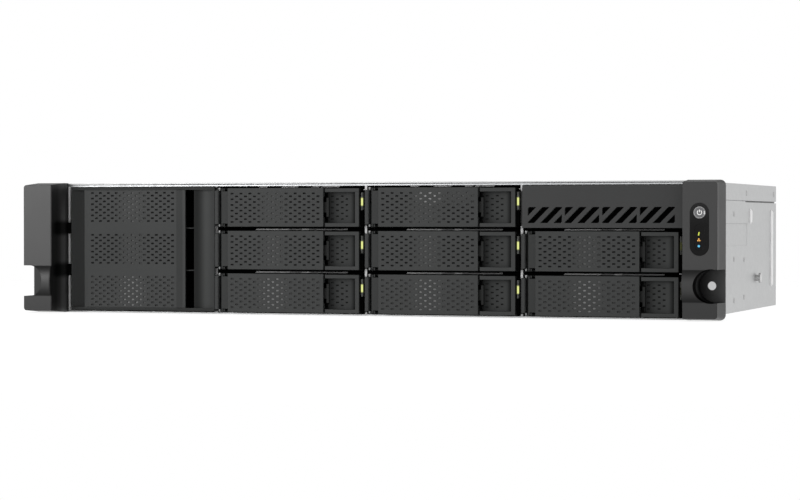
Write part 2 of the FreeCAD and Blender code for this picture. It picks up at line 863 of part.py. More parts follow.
def barrel_seats():
    """The open-fronted seats in the lugs, each closed on the side away from the barrel."""
    seats = []
    for z0 in (barrel_end_inset / 2, face_height - lug_height):
        z1 = z0 + lug_height - barrel_end_inset / 2
        chamfer = lug_bore_radius / 2
        seats.append(plan_prism([(hinge_x - lug_bore_radius, face_y), (hinge_x + lug_bore_radius, face_y),
                                 (hinge_x + lug_bore_radius, hinge_y + chamfer),
                                 (hinge_x + chamfer, hinge_y + lug_bore_radius),
                                 (hinge_x - chamfer, hinge_y + lug_bore_radius),
                                 (hinge_x - lug_bore_radius, hinge_y + chamfer)], z0, z1))
    return seats


def tray_frame():
    """The moulded front: rim, hinge lugs, ribs, cross wall and side flange."""
    rim = box(rim_left_x, rim_right_x, face_y, frame_back_y, rim_end_inset, face_height - rim_end_inset)
    inner_y = frame_back_y - frame_wall
    wall = box(rim_right_x, pocket_left_x, inner_y, frame_back_y, 0, face_height)
    low = stiffener_height + frame_border
    high = face_height - low
    span = (pocket_left_x - lug_right_x) / front_window_count
    windows = []
    for index in range(front_window_count):
        x0 = lug_right_x + index * span + front_window_mullion
        windows.append(box(x0, x0 + span - 2 * front_window_mullion, inner_y - past,
                           frame_back_y + past, low, high))
    wall = cut(wall, windows)
    ledge_y = stiffener_back_y + barrel_gap
    ledges = [box(lug_right_x, pocket_left_x, ledge_y, inner_y, z, z + frame_wall)
              for z in (0, face_height - frame_wall)]
    flange = box(side_flange_left_x, side_flange_right_x, side_flange_front_y, frame_back_y,
                 side_flange_inset, frame_top_z - side_flange_inset)
    return [rim, wall, flange] + hinge_lugs() + ledges


def tray_pocket():
    """The finger pocket: a bordered frame round a curved floor that is cut for air."""
    outer = box(pocket_left_x, frame_right_x, face_y, frame_back_y, 0, frame_top_z)
    low, high = frame_border, frame_top_z - frame_border
    room = box(pocket_left_x - past, pocket_right_x, face_y - past, frame_back_y + past, low, high)
    start = (pocket_floor_left_x, pocket_floor_left_y)
    end = (pocket_right_x, pocket_floor_right_y)
    front = arc_block(start, end, pocket_floor_sag, frame_back_y + 2 * past, low, high)
    start_back = (start[0], start[1] + pocket_floor_thickness)
    end_back = (end[0], end[1] + pocket_floor_thickness)
    behind = arc_block(start_back, end_back, pocket_floor_sag, frame_back_y + 3 * past,
                       low - past, high + past)
    floor = front.cut(behind)
    step = (high - low) / (pocket_slot_count + 1)
    middle_x = (pocket_floor_left_x + pocket_right_x) / 2
    slots = []
    for index in range(pocket_slot_count):
        z = low + (index + 1) * step
        slots.append(box(middle_x - pocket_slot_length / 2, middle_x + pocket_slot_length / 2,
                         face_y, frame_back_y + past, z - pocket_slot_height / 2,
                         z + pocket_slot_height / 2))
    return fuse([cut(outer, [room]), cut(floor, slots)])


def tray_sled():
    """The open cradle: a windowed base with side rails that step down to the rear."""
    bottom = -sled_drop
    base = box(sled_left_x, sled_right_x, frame_back_y, sled_back_y, bottom, bottom + sled_thickness)
    middle_y = (frame_back_y + sled_back_y) / 2
    x0, x1 = sled_left_x + sled_window_margin, sled_right_x - sled_window_margin
    windows = []
    for y0, y1 in ((frame_back_y + sled_window_margin, middle_y - sled_cross_bar / 2),
                   (middle_y + sled_cross_bar / 2, sled_back_y - sled_window_margin)):
        windows.append(box(x0, x1, y0, y1, bottom - past, bottom + sled_thickness + past))
    rail_points = [(frame_back_y, bottom), (sled_back_y, bottom), (sled_back_y, sled_rear_wall_height),
                   (sled_back_y - sled_cross_bar, sled_wall_height),
                   (frame_back_y + sled_cross_bar, sled_wall_height),
                   (frame_back_y, frame_top_z - side_flange_inset)]
    left = side_prism(rail_points, sled_left_x, sled_left_x + sled_thickness)
    right = side_prism(rail_points, sled_right_x - sled_thickness, sled_right_x)
    return [cut(base, windows), left, right]


def tray_carrier():
    """The moulded front of one tray and the sled that is fixed to its back."""
    front = fuse(tray_frame() + [tray_pocket()])
    lens_slot = box(lens_left_x - lens_pocket_play, lens_left_x + lens_width + lens_pocket_play,
                    face_y, frame_back_y, lens_low_z - lens_pocket_play,
                    lens_high_z + lens_pocket_play)
    lens_slot = lens_slot.cut(box(0, frame_right_x, 0, lens_front_y - past, 0, face_height))
    latch_way = box(latch_tab_left_x - latch_travel, pocket_left_x + past, latch_front_y,
                    frame_back_y + past, latch_tab_low_z - latch_play, latch_tab_high_z + latch_play)
    return Part.makeCompound([cut(front, [lens_slot, latch_way] + barrel_seats()), fuse(tray_sled())])


def lever_plate():
    """The perforated face of the lever with its grip lip and stiffeners."""
    plate = box(plate_left_x, plate_right_x, face_y, plate_back_y, 0, face_height)
    holes = hole_field(lever_first_hole_x, lever_last_hole_x, lever_hole_columns,
                       lever_hole_end_margin, face_height - lever_hole_end_margin, lever_hole_rows,
                       lever_hole_width, lever_hole_height, face_y - past, plate_back_y + past)
    plate = cut(plate, holes)
    lip = box(plate_right_x - grip_lip_width, plate_right_x, plate_back_y, grip_lip_back_y, 0, face_height)
    notch = box(latch_left_x, plate_right_x + past, plate_back_y, grip_lip_back_y + past,
                latch_tab_low_z - latch_play, latch_tab_high_z + latch_play)
    edges = [box(plate_left_x + frame_wall, plate_right_x, plate_back_y, stiffener_back_y, z,
                 z + stiffener_height) for z in (0, face_height - stiffener_height)]
    return [plate, cut(lip, [notch])] + edges


def lever_hinge():
    """Barrel and the stepped strip that joins it to the plate between the lugs."""
    low, high = lug_height + barrel_gap, face_height - lug_height - barrel_gap
    barrel_length = face_height - 2 * barrel_end_inset
    barrel = rod(hinge_x, hinge_y, barrel_end_inset, AXIS_Z, barrel_radius, barrel_length)
    neck_x = hinge_x + barrel_radius
    strip_points = [(hinge_x, strip_back_y), (hinge_x, hinge_y - barrel_radius),
                    (neck_x, hinge_y - strip_notch_rise), (neck_x + strip_notch_slant, strip_front_y),
                    (strip_right_x, strip_front_y), (strip_right_x, strip_back_y)]
    strip = plan_prism(strip_points, low, high)
    root = box(strip_right_x - past, plate_left_x + frame_wall, strip_front_y + strip_step, strip_back_y,
               low, high)
    return [barrel, strip, root]


def latch_guide():
    """The bridge on the lever's back that the latch stem slides in."""
    inner_z0, inner_z1 = latch_stem_low_z - latch_play, latch_stem_high_z + latch_play
    back_y = latch_front_y + latch_stem_thickness + latch_play
    outer = box(guide_left_x, guide_left_x + guide_width, plate_back_y, back_y + guide_wall,
                inner_z0 - guide_wall, inner_z1 + guide_wall)
    return outer.cut(box(guide_left_x + guide_wall, guide_left_x + guide_width + past, plate_back_y,
                         back_y, inner_z0, inner_z1))


def tray_lever():
    return fuse(lever_plate() + lever_hinge() + [latch_guide()])


def tray_latch():
    """Sliding latch: stem in the guide, finger tab in the pocket, nose behind."""
    stem = box(latch_left_x + latch_travel, latch_tab_left_x + latch_tab_thickness, latch_front_y,
               latch_front_y + latch_stem_thickness, latch_stem_low_z, latch_stem_high_z)
    tab = box(latch_tab_left_x, latch_tab_left_x + latch_tab_thickness, latch_front_y,
              latch_tab_back_y, latch_tab_low_z, latch_tab_high_z)
    nose_x = latch_tab_left_x + latch_tab_thickness
    nose = plan_prism([(nose_x, latch_tab_back_y - 2 * latch_nose_depth),
                       (nose_x + latch_nose_length, latch_tab_back_y - latch_nose_depth),
                       (nose_x + latch_nose_length, latch_tab_back_y), (nose_x, latch_tab_back_y)],
                      latch_stem_low_z, latch_stem_high_z)
    return fuse([stem, tab, nose])


def tray_light_pipe():
    """Upright lens with bevelled front edges, held in the side flange."""
    x0, x1 = lens_left_x, lens_left_x + lens_width
    y0, y1 = lens_front_y, frame_back_y
    points = [(x0 + lens_front_bevel, y0), (x1 - lens_front_bevel, y0), (x1, y0 + lens_front_bevel),
              (x1, y1), (x0, y1), (x0, y0 + lens_front_bevel)]
    return plan_prism(points, lens_low_z, lens_high_z)


# ---------------------------------------------------------------- fixed front panels
def cover_shell():
    """Hollow plate with a solid strip under the recess and under the scoop."""
    block = box(cover_left_x, cover_right_x, face_y, cover_back_y, cover_low_z, cover_high_z)
    hollow = box(cover_recess_right_x + cover_wall, grip_slot_right_x, face_y + cover_wall,
                 cover_back_y + past, cover_low_z + cover_wall, cover_high_z - cover_wall)
    return cut(block, [hollow])


def cover_cuts():
    """Recess on the left, finger slot and scoop on the right."""
    low, high = cover_low_z + cover_border, cover_high_z - cover_border
    recess = arc_block((cover_recess_left_x, cover_recess_left_y),
                       (cover_recess_right_x, cover_recess_right_y), cover_recess_sag,
                       face_y - past, low, high)
    strip = box(grip_strip_left_x, grip_slot_right_x, face_y - past, face_y + grip_strip_depth, low, high)
    slot = box(grip_slot_left_x, grip_slot_right_x, face_y - past, cover_back_y + past, low, high)
    scoop = arc_block((grip_slot_right_x, grip_scoop_left_y),
                      (cover_right_x - scoop_edge, grip_scoop_right_y),
                      grip_scoop_sag, face_y - past, low, high)
    return [recess, strip, slot, scoop]


def cover_holes():
    """One field of air holes for each row of bays."""
    holes = []
    for floor_z in row_floor_z:
        holes += hole_field(cover_hole_left_x, cover_hole_right_x, cover_hole_columns,
                            floor_z + cover_hole_end_margin,
                            floor_z + face_height - cover_hole_end_margin, cover_hole_rows,
                            cover_hole_width, cover_hole_height, face_y - past,
                            face_y + cover_wall + past)
    return holes


def cover_clips():
    """Snap legs beside the two dividers, at the heights where the bays part."""
    left_leg_x = -outer_divider_x + divider_half + sheet_clearance
    right_leg_x = -column_pitch - divider_half - sheet_clearance
    clips = []
    for z in shelf_middle_z:
        z0, z1 = z - clip_half_height, z + clip_half_height
        clips.append(box(clip_reach_x, cover_left_x + cover_wall, clip_front_y, cover_back_y, z0, z1))
        clips.append(box(left_leg_x, left_leg_x + clip_leg_thickness, clip_front_y, clip_leg_back_y, z0, z1))
        clips.append(box(right_leg_x - clip_leg_thickness, right_leg_x, clip_front_y, clip_leg_back_y,
                         z0, z1))
    return clips


def intake_cover():
    ribs = [box(grip_slot_left_x - cover_wall, grip_slot_right_x, grip_rib_front_y, cover_back_y,
                z - grip_rib_thickness / 2, z + grip_rib_thickness / 2) for z in shelf_middle_z]
    shell = cut(cover_shell(), cover_cuts() + cover_holes())
    return fuse([shell] + ribs + cover_clips())


def vent_window(left_x):
    """The slanted openings of one window of the vent panel."""
    x1 = left_x + vent_window_width
    z0, z1 = vent_window_low_z, vent_window_low_z + vent_window_height
    frame = box(left_x, x1, face_y - past, vent_back_y, z0, z1)
    lean = vent_window_height / 2
    half = vent_slot_width / 2
    openings = []
    for index in range(vent_slot_count):
        x = (left_x + x1) / 2 + (index - (vent_slot_count - 1) / 2) * vent_slot_pitch
        band = front_prism([(x - lean - half, z0), (x - lean + half, z0), (x + lean + half, z1),
                            (x + lean - half, z1)], face_y - past, vent_back_y)
        openings.append(frame.common(band))
    return openings


def vent_panel():
    """Fixed panel over the top bay of the last column."""
    block = box(vent_left_x, vent_right_x, face_y, vent_back_y, vent_low_z, cover_high_z)
    hollow = box(vent_left_x + cover_wall, vent_right_x - cover_wall, face_y + cover_wall,
                 vent_back_y + past, vent_low_z + cover_wall, cover_high_z - cover_wall)
    openings = []
    for index in range(vent_window_count):
        openings += vent_window(vent_first_window_x + index * (vent_window_width + vent_window_gap))
    shell = cut(block, [hollow] + openings)
    z0, z1 = vent_low_z + 2 * cover_wall, cover_high_z - 2 * cover_wall
    left = box(column_pitch + divider_half, vent_left_x + cover_wall, clip_front_y, clip_leg_back_y, z0, z1)
    left = left.cut(box(vent_left_x, vent_left_x + cover_wall + past, vent_back_y, clip_leg_back_y + past,
                        z0, z1))
    right_x = outer_divider_x - divider_half
    right = box(vent_right_x - cover_wall, right_x, clip_front_y, vent_back_y, z0, z1)
    leg = box(right_x - clip_leg_thickness, right_x, clip_front_y, clip_leg_back_y, z0, z1)
    return fuse([shell, left, right, leg])


# ---------------------------------------------------------------- electronics
def tray_origin(column, row):
    """Where a tray's own zero lies: its left divider's middle and its underside."""
    return Vector(divider_places[column + 1], 0, row_floor_z[row])


def backplane():
    """Upright board behind the drive bays with one air window behind each bay."""
    x0 = -column_pitch - divider_half
    x1 = outer_divider_x + divider_half
    board = box(x0, x1, bay_back_y, bay_back_y + board_thickness, backplane_low_z, backplane_high_z)
    windows = []
    for column in range(3):
        for row in range(3):
            origin = tray_origin(column, row)
            left = origin.x + backplane_window_offset_x - connector_height
            low = origin.z + backplane_window_offset_z
            windows.append(box(left, left + backplane_window_width, bay_back_y - past,
                               bay_back_y + board_thickness + past, low, low + backplane_window_height))
    return cut(board, windows)


def drive_connector():
    """Drive socket with its long slot, open toward the tray."""
    x0, x1 = connector_left_x, connector_left_x + connector_width
    y0 = bay_back_y - connector_depth
    body = box(x0, x1, y0, bay_back_y, connector_z, connector_z + connector_height)
    slot_low = connector_z + (connector_height - connector_slot_height) / 2
    slot = box(x0 + connector_slot_wall, x1 - connector_slot_wall, y0 - past, y0 + connector_slot_depth,
               slot_low, slot_low + connector_slot_height)
    return body.cut(slot)


def drive_connectors():
    connector = drive_connector()
    return Part.makeCompound([connector.translated(tray_origin(column, row)) for column, row in tray_bays])


def mainboard():
    """Board on four standoffs that rise from the chassis floor."""
    board = box(mainboard_left_x, mainboard_right_x, mainboard_front_y, mainboard_back_y,
                mainboard_low_z, mainboard_top_z)
    feet = []
    for x in (mainboard_left_x + standoff_inset, mainboard_right_x - standoff_inset):
        for y in (mainboard_front_y + standoff_inset, mainboard_back_y - standoff_inset):
            feet.append(box(x - standoff_size / 2, x + standoff_size / 2, y - standoff_size / 2,
                            y + standoff_size / 2, floor_thickness, mainboard_low_z))
    return fuse([board] + feet)


def cpu_heatsink():
    """Finned block on the processor."""
    x0, x1 = heatsink_x - heatsink_width / 2, heatsink_x + heatsink_width / 2
    y1 = heatsink_front_y + heatsink_length
    base = box(x0, x1, heatsink_front_y, y1, mainboard_top_z, mainboard_top_z + heatsink_base)
    step = (heatsink_width - heatsink_fin_thickness) / (heatsink_fins - 1)
    fins = [box(x0 + index * step, x0 + index * step + heatsink_fin_thickness, heatsink_front_y, y1,
                mainboard_top_z + heatsink_base / 2, mainboard_top_z + heatsink_height)
            for index in range(heatsink_fins)]
    return fuse([base] + fins)


def port_places(left_x, width, gap, count):
    return [left_x + index * (width + gap) for index in range(count)]


def port_bodies(play, back_y):
    """The outer blocks of the rear ports up to back_y, grown by a play on their sides."""
    y1 = rear_panel_front_y + port_panel_reach
    blocks = []
    for x in port_places(jack_left_x, jack_stack_width, jack_stack_gap, jack_stack_count):
        blocks.append(box(x - play, x + jack_stack_width + play, y1 - jack_stack_depth, back_y,
                          mainboard_top_z - play, mainboard_top_z + jack_stack_height + play))
    for x in port_places(serial_left_x, serial_width, serial_gap, serial_count):
        blocks.append(box(x - play, x + serial_width + play, y1 - serial_depth, back_y,
                          mainboard_top_z - play, mainboard_top_z + serial_height + play))
    return blocks


def jack_mouths(x):
    """Two network sockets, one above the other, in one stack."""
    y1 = rear_panel_front_y + port_panel_reach
    left = x + (jack_stack_width - jack_width) / 2
    mouths = []
    for index in range(2):
        z = mainboard_top_z + jack_low_offset + index * jack_pitch
        mouths.append(box(left, left + jack_width, y1 - jack_depth, y1 + past, z, z + jack_height))
    return mouths


def serial_mouths(x):
    """Two flat sockets with a contact tongue in each."""
    y1 = rear_panel_front_y + port_panel_reach
    left = x + (serial_width - serial_mouth_width) / 2
    mouths = []
    for index in range(2):
        z = mainboard_top_z + (serial_height - serial_mouth_pitch - serial_mouth_height) / 2
        z += index * serial_mouth_pitch
        tongue_top = z + serial_mouth_height - serial_tongue_drop
        mouth = box(left, left + serial_mouth_width, y1 - serial_mouth_depth, y1 + past, z,
                    z + serial_mouth_height)
        tongue = box(left, left + serial_mouth_width, y1 - serial_mouth_depth, y1 - serial_tongue_inset,
                     tongue_top - serial_tongue, tongue_top)
        mouths.append(mouth.cut(tongue))
    return mouths


def io_ports():
    bodies = port_bodies(0, rear_panel_front_y + port_panel_reach)
    mouths = []
    for x in port_places(jack_left_x, jack_stack_width, jack_stack_gap, jack_stack_count):
        mouths += jack_mouths(x)
    for x in port_places(serial_left_x, serial_width, serial_gap, serial_count):
        mouths += serial_mouths(x)
    return Part.makeCompound([body.cut(mouths) for body in bodies])


# ---------------------------------------------------------------- fans
def fan_centres():
    """Middle (x, z) of each system fan."""
    z = fan_low_z + fan_size / 2
    return [(fan_left_x + fan_size / 2 + index * fan_pitch, z) for index in range(2)]


def fan_frame(x, z):
    """Square fan frame with a round bore, a motor boss and four ribs at the rear."""
    y0, y1 = rear_panel_front_y - fan_depth, rear_panel_front_y
    half = fan_size / 2
    body = chamfered_plate(x - half, x + half, z - half, z + half, fan_corner_chamfer, y0, y1)
    body = body.cut(rod(x, y0 - past, z, AXIS_Y, fan_bore_radius, fan_depth + 2 * past))
    rib_y = y1 - fan_rib_depth
    motor, reach = hub_radius, fan_bore_radius + past
    ribs = [box(x - reach, x + reach, rib_y, y1, z - fan_rib_width / 2,
                z + fan_rib_width / 2),
            box(x - fan_rib_width / 2, x + fan_rib_width / 2, rib_y, y1, z - reach, z + reach),
            chamfered_plate(x - motor, x + motor, z - motor, z + motor, motor / 2, rib_y, y1)]
    return fuse([body] + ribs)


def fan_frames():
    return Part.makeCompound([fan_frame(x, z) for x, z in fan_centres()])


def fan_blade(root_radius, tip_radius, depth, pitch, thickness):
    """One pitched blade along +X about the Y axis, wider at its tip than its root."""
    angle = math.radians(pitch)
    along = Vector(0, math.cos(angle), -math.sin(angle))
    across = Vector(0, math.sin(angle), math.cos(angle)) * (thickness / 2)
    sections = []
    for radius, chord in ((root_radius, depth * blade_root_share), (tip_radius, depth)):
        ends = [Vector(radius, 0, 0) - along * (chord / 2), Vector(radius, 0, 0) + along * (chord / 2)]
        corners = [ends[0] - across, ends[1] - across, ends[1] + across, ends[0] + across]
        sections.append(Part.makePolygon(corners + [corners[0]]))
    return Part.makeLoft(sections, True, True)


def rotor(x, z, middle_y, radius, hub, depth, blades, thickness):
    """A fan rotor: hub and evenly spaced pitched blades."""
    pieces = [rod(0, -depth / 2, 0, AXIS_Y, hub, depth)]
    blade = fan_blade(hub - past, radius, depth, blade_pitch, thickness)
    for index in range(blades):
        turned = blade.copy()
        turned.rotate(Vector(0, 0, 0), AXIS_Y, 360 * index / blades)
        pieces.append(turned)
    turning = fuse(pieces)
    return turning.translated(Vector(x, middle_y, z))


def fan_rotor(index):
    x, z = fan_centres()[index]
    free_y0 = rear_panel_front_y - fan_depth
    middle_y = free_y0 + rotor_clearance + hub_depth / 2 + fan_rib_depth
    return rotor(x, z, middle_y, fan_bore_radius - rotor_clearance, hub_radius, hub_depth, blade_count,
                 blade_thickness)


# ---------------------------------------------------------------- power supply
def supply_fan_centre():
    return supply_left_x + supply_fan_offset_x, supply_low_z + supply_height / 2


def power_supply():
    """Closed steel case with the fan's bay and the inlet's opening in its rear."""
    body = box(supply_left_x, supply_left_x + supply_width, supply_front_y, rear_panel_front_y,
               supply_low_z, supply_low_z + supply_height)
    x, z = supply_fan_centre()
    fan_bay = rod(x, rear_panel_front_y - supply_fan_depth, z, AXIS_Y, supply_fan_radius,
                  supply_fan_depth + past)
    return body.cut([fan_bay, inlet_block(0)])


def inlet_block(play):
    """The inlet's outer block; it reaches through the rear panel."""
    x = supply_left_x + inlet_offset_x
    z = supply_low_z + supply_height / 2
    return box(x - inlet_width / 2 - play, x + inlet_width / 2 + play, rear_panel_front_y - inlet_body_depth,
               chassis_rear_y, z - inlet_height / 2 - play, z + inlet_height / 2 + play)


def power_inlet():
    """Mains inlet: a deep mouth with two lower corners cut off and three pins."""
    x = supply_left_x + inlet_offset_x
    z = supply_low_z + supply_height / 2
    half_w, half_h = inlet_cavity_width / 2, inlet_cavity_height / 2
    chamfer = half_h / 2
    mouth = front_prism([(x - half_w, z - half_h), (x + half_w, z - half_h),
                         (x + half_w, z + half_h - chamfer), (x + half_w - chamfer, z + half_h),
                         (x - half_w + chamfer, z + half_h), (x - half_w, z + half_h - chamfer)],
                        chassis_rear_y - inlet_cavity_depth, chassis_rear_y + past)
    body = inlet_block(0).cut(mouth)
    pins = []
    for across, up in ((-1, 0), (0, 1), (1, 0)):
        px, pz = x + across * inlet_pin_spacing, z + up * inlet_pin_height / 2
        pins.append(box(px - inlet_pin_width / 2, px + inlet_pin_width / 2,
                        chassis_rear_y - inlet_cavity_depth - past,
                        chassis_rear_y - inlet_cavity_depth + inlet_pin_length,
                        pz - inlet_pin_height / 2, pz + inlet_pin_height / 2))
    return fuse([body] + pins)


def psu_fan_rotor():
    x, z = supply_fan_centre()
    middle_y = rear_panel_front_y - supply_fan_depth + rotor_clearance + supply_rotor_depth / 2
    return rotor(x, z, middle_y, supply_rotor_radius, supply_hub_radius, supply_rotor_depth,
                 supply_blade_count, blade_thickness)


# ---------------------------------------------------------------- rear panel
def round_grille(x, z, radius):
    """Level slots that together fill a circle, parted by an upright spine."""
    slots = []
    count = int(radius // grille_slot_pitch)
    for index in range(-count, count + 1):
        middle = index * grille_slot_pitch
        reach = math.sqrt(max(radius ** 2 - (abs(middle) + grille_slot_height / 2) ** 2, 0))
        if reach > 2 * grille_spine_width:
            for x0, x1 in ((x - reach, x - grille_spine_width / 2), (x + grille_spine_width / 2, x + reach)):
                slots.append(box(x0, x1, rear_panel_front_y - past, chassis_rear_y + past,
                                 z + middle - grille_slot_height / 2, z + middle + grille_slot_height / 2))
    return slots


def bracket_places():
    return [bracket_left_x + index * bracket_pitch for index in range(bracket_count)]


def expansion_brackets():
    """Slotted blanking brackets screwed inside the rear panel."""
    brackets = []
    y1 = rear_panel_front_y
    y0 = y1 - bracket_thickness
    for x in bracket_places():
        blade = box(x, x + bracket_width, y0, y1, bracket_low_z, bracket_high_z)
        ear = box(x, x + bracket_width, y1 - bracket_ear_depth, y1, bracket_high_z - bracket_thickness,
                  bracket_high_z)
        brackets.append(fuse([blade, ear]))
    return Part.makeCompound(brackets)


def bracket_openings():
    """The tall openings of the rear panel that the brackets close."""
    margin = (bracket_width - bracket_slot_width) / 2
    return [box(x + margin, x + bracket_width - margin, rear_panel_front_y - past, chassis_rear_y + past,
                bracket_low_z + bracket_slot_inset, bracket_high_z - bracket_slot_inset)
            for x in bracket_places()]


def rear_panel():
    """Rear wall with openings for ports, inlet and brackets, and the fan grilles."""
    top = cover_underside_z - rear_panel_top_gap
    wall = box(-side_inner_x, side_inner_x, rear_panel_front_y, chassis_rear_y, floor_thickness, top)
    half = side_inner_x - inner_lip_thickness - sheet_clearance
    lip = box(-half, half, rear_panel_front_y - rear_lip_depth, rear_panel_front_y,
              top - rear_panel_thickness, top)
    openings = port_bodies(port_play, chassis_rear_y + past) + [inlet_block(port_play)]
    openings += bracket_openings()
    for x, z in fan_centres():
        openings += round_grille(x, z, fan_bore_radius)
    openings += round_grille(*supply_fan_centre(), supply_fan_radius)
    return cut(fuse([wall, lip]), openings)


# ---------------------------------------------------------------- export
def export(name, shape):
    """Write one sub-part, moved to the finished part's origin."""
    shape.translated(Vector(0, -part_middle_y, 0)).exportStep("parts/%s.step" % name)


def export_trays():
    pieces = {"carrier": tray_carrier(), "lever": tray_lever(), "latch": tray_latch(),
              "light_pipe": tray_light_pipe()}
    for number, (column, row) in enumerate(tray_bays, start=1):
        for name, shape in pieces.items():
            export("tray_%d_%s" % (number, name), shape.translated(tray_origin(column, row)))


def main():
    os.makedirs("parts", exist_ok=True)
    makers = [chassis_base, top_cover, rear_panel, bay_dividers, bay_headers, bay_shelves, rail_studs,
              left_ear, right_ear, rack_flanges, status_window, indicator_lenses, power_button,
              intake_cover, vent_panel, backplane, drive_connectors, mainboard, cpu_heatsink, io_ports,
              expansion_brackets, fan_frames, power_supply, power_inlet, psu_fan_rotor]
    for maker in makers:
        export(maker.__name__, maker())
    export("fan_rotor_left", fan_rotor(0))
    export("fan_rotor_right", fan_rotor(1))
    export_trays()


main()
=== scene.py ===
"""Looks of a two-unit rack storage enclosure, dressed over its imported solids.

Every piece is measured in millimetres in the frame of the ears' front faces and is moved
into the solids' frame from the corners that the solids give.
"""
import logging
import math
from abc import ABC, abstractmethod
from dataclasses import dataclass, field
from enum import Enum
from typing import Callable, Optional, Sequence

import bmesh
import bpy
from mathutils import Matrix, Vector


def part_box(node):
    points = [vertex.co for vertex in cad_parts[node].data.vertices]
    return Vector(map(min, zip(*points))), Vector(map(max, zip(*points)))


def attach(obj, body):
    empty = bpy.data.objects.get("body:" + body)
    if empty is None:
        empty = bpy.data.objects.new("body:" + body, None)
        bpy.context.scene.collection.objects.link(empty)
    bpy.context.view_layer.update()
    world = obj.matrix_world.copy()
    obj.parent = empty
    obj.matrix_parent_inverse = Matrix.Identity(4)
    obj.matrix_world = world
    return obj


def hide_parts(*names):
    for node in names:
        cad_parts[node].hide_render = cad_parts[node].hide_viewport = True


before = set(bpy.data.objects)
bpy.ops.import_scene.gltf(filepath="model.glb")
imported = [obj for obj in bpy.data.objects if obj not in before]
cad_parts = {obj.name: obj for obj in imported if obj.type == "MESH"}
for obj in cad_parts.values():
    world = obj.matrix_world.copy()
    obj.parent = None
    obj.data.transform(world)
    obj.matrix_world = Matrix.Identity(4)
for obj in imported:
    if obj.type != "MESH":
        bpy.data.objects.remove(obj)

Node = bpy.types.Node
Socket = bpy.types.NodeSocket
Tree = bpy.types.NodeTree
Colour = tuple[float, float, float]
Point = tuple[float, float, float]
Spot = tuple[float, float]
Cells = tuple[float, float, int]  # middle of the first cell, middle of the last, and their number
Placer = Callable[[float, float, float], Point]
MM = 0.001
SHARP_ANGLE = 32.0  # degrees between faces past which their edge stays sharp
ROW_FLOORS = (1.7, 30.25, 58.8)  # underside of each row of trays, in millimetres
LOG = logging.getLogger("enclosure")


def scaled(colour: Colour, share: float) -> Colour:
    """A colour with each channel multiplied, no brighter than white."""
    return tuple(min(1.0, channel * share) for channel in colour)


def in_metres(point: Sequence[float]) -> Point:
    """A point that is given in millimetres, in metres."""
    return tuple(value * MM for value in point)


def even(low: float, high: float, count: int) -> list[float]:
    """Evenly spaced numbers from low to high."""
    return [low + (high - low) * index / (count - 1) for index in range(count)]


def new_object(name: str, data: bpy.types.ID, place: Point) -> bpy.types.Object:
    """Makes an object and links it into the scene.

    Args:
        name: its name.
        data: its mesh, light or camera.
        place: where it stands, in metres.

    Returns:
        The object.
    """
    made = bpy.data.objects.new(name, data)
    made.location = place
    bpy.context.scene.collection.objects.link(made)
    return made


@dataclass(frozen=True)
class Site:
    """The solids' frame seen from the ears' front plane.

    Attributes:
        boss_rise: how far the ears' swells stand in front of that plane.
    """

    boss_rise: float = 3.0

    def shift(self) -> float:
        """Where the ears' front plane lies along Y, in millimetres."""
        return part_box("right_ear")[0].y / MM + self.boss_rise

    def point(self, x: float, y: float, z: float) -> Point:
        """A place measured from the ears' front plane, in the solids' frame."""
        return (x, y + self.shift(), z)


SITE = Site()


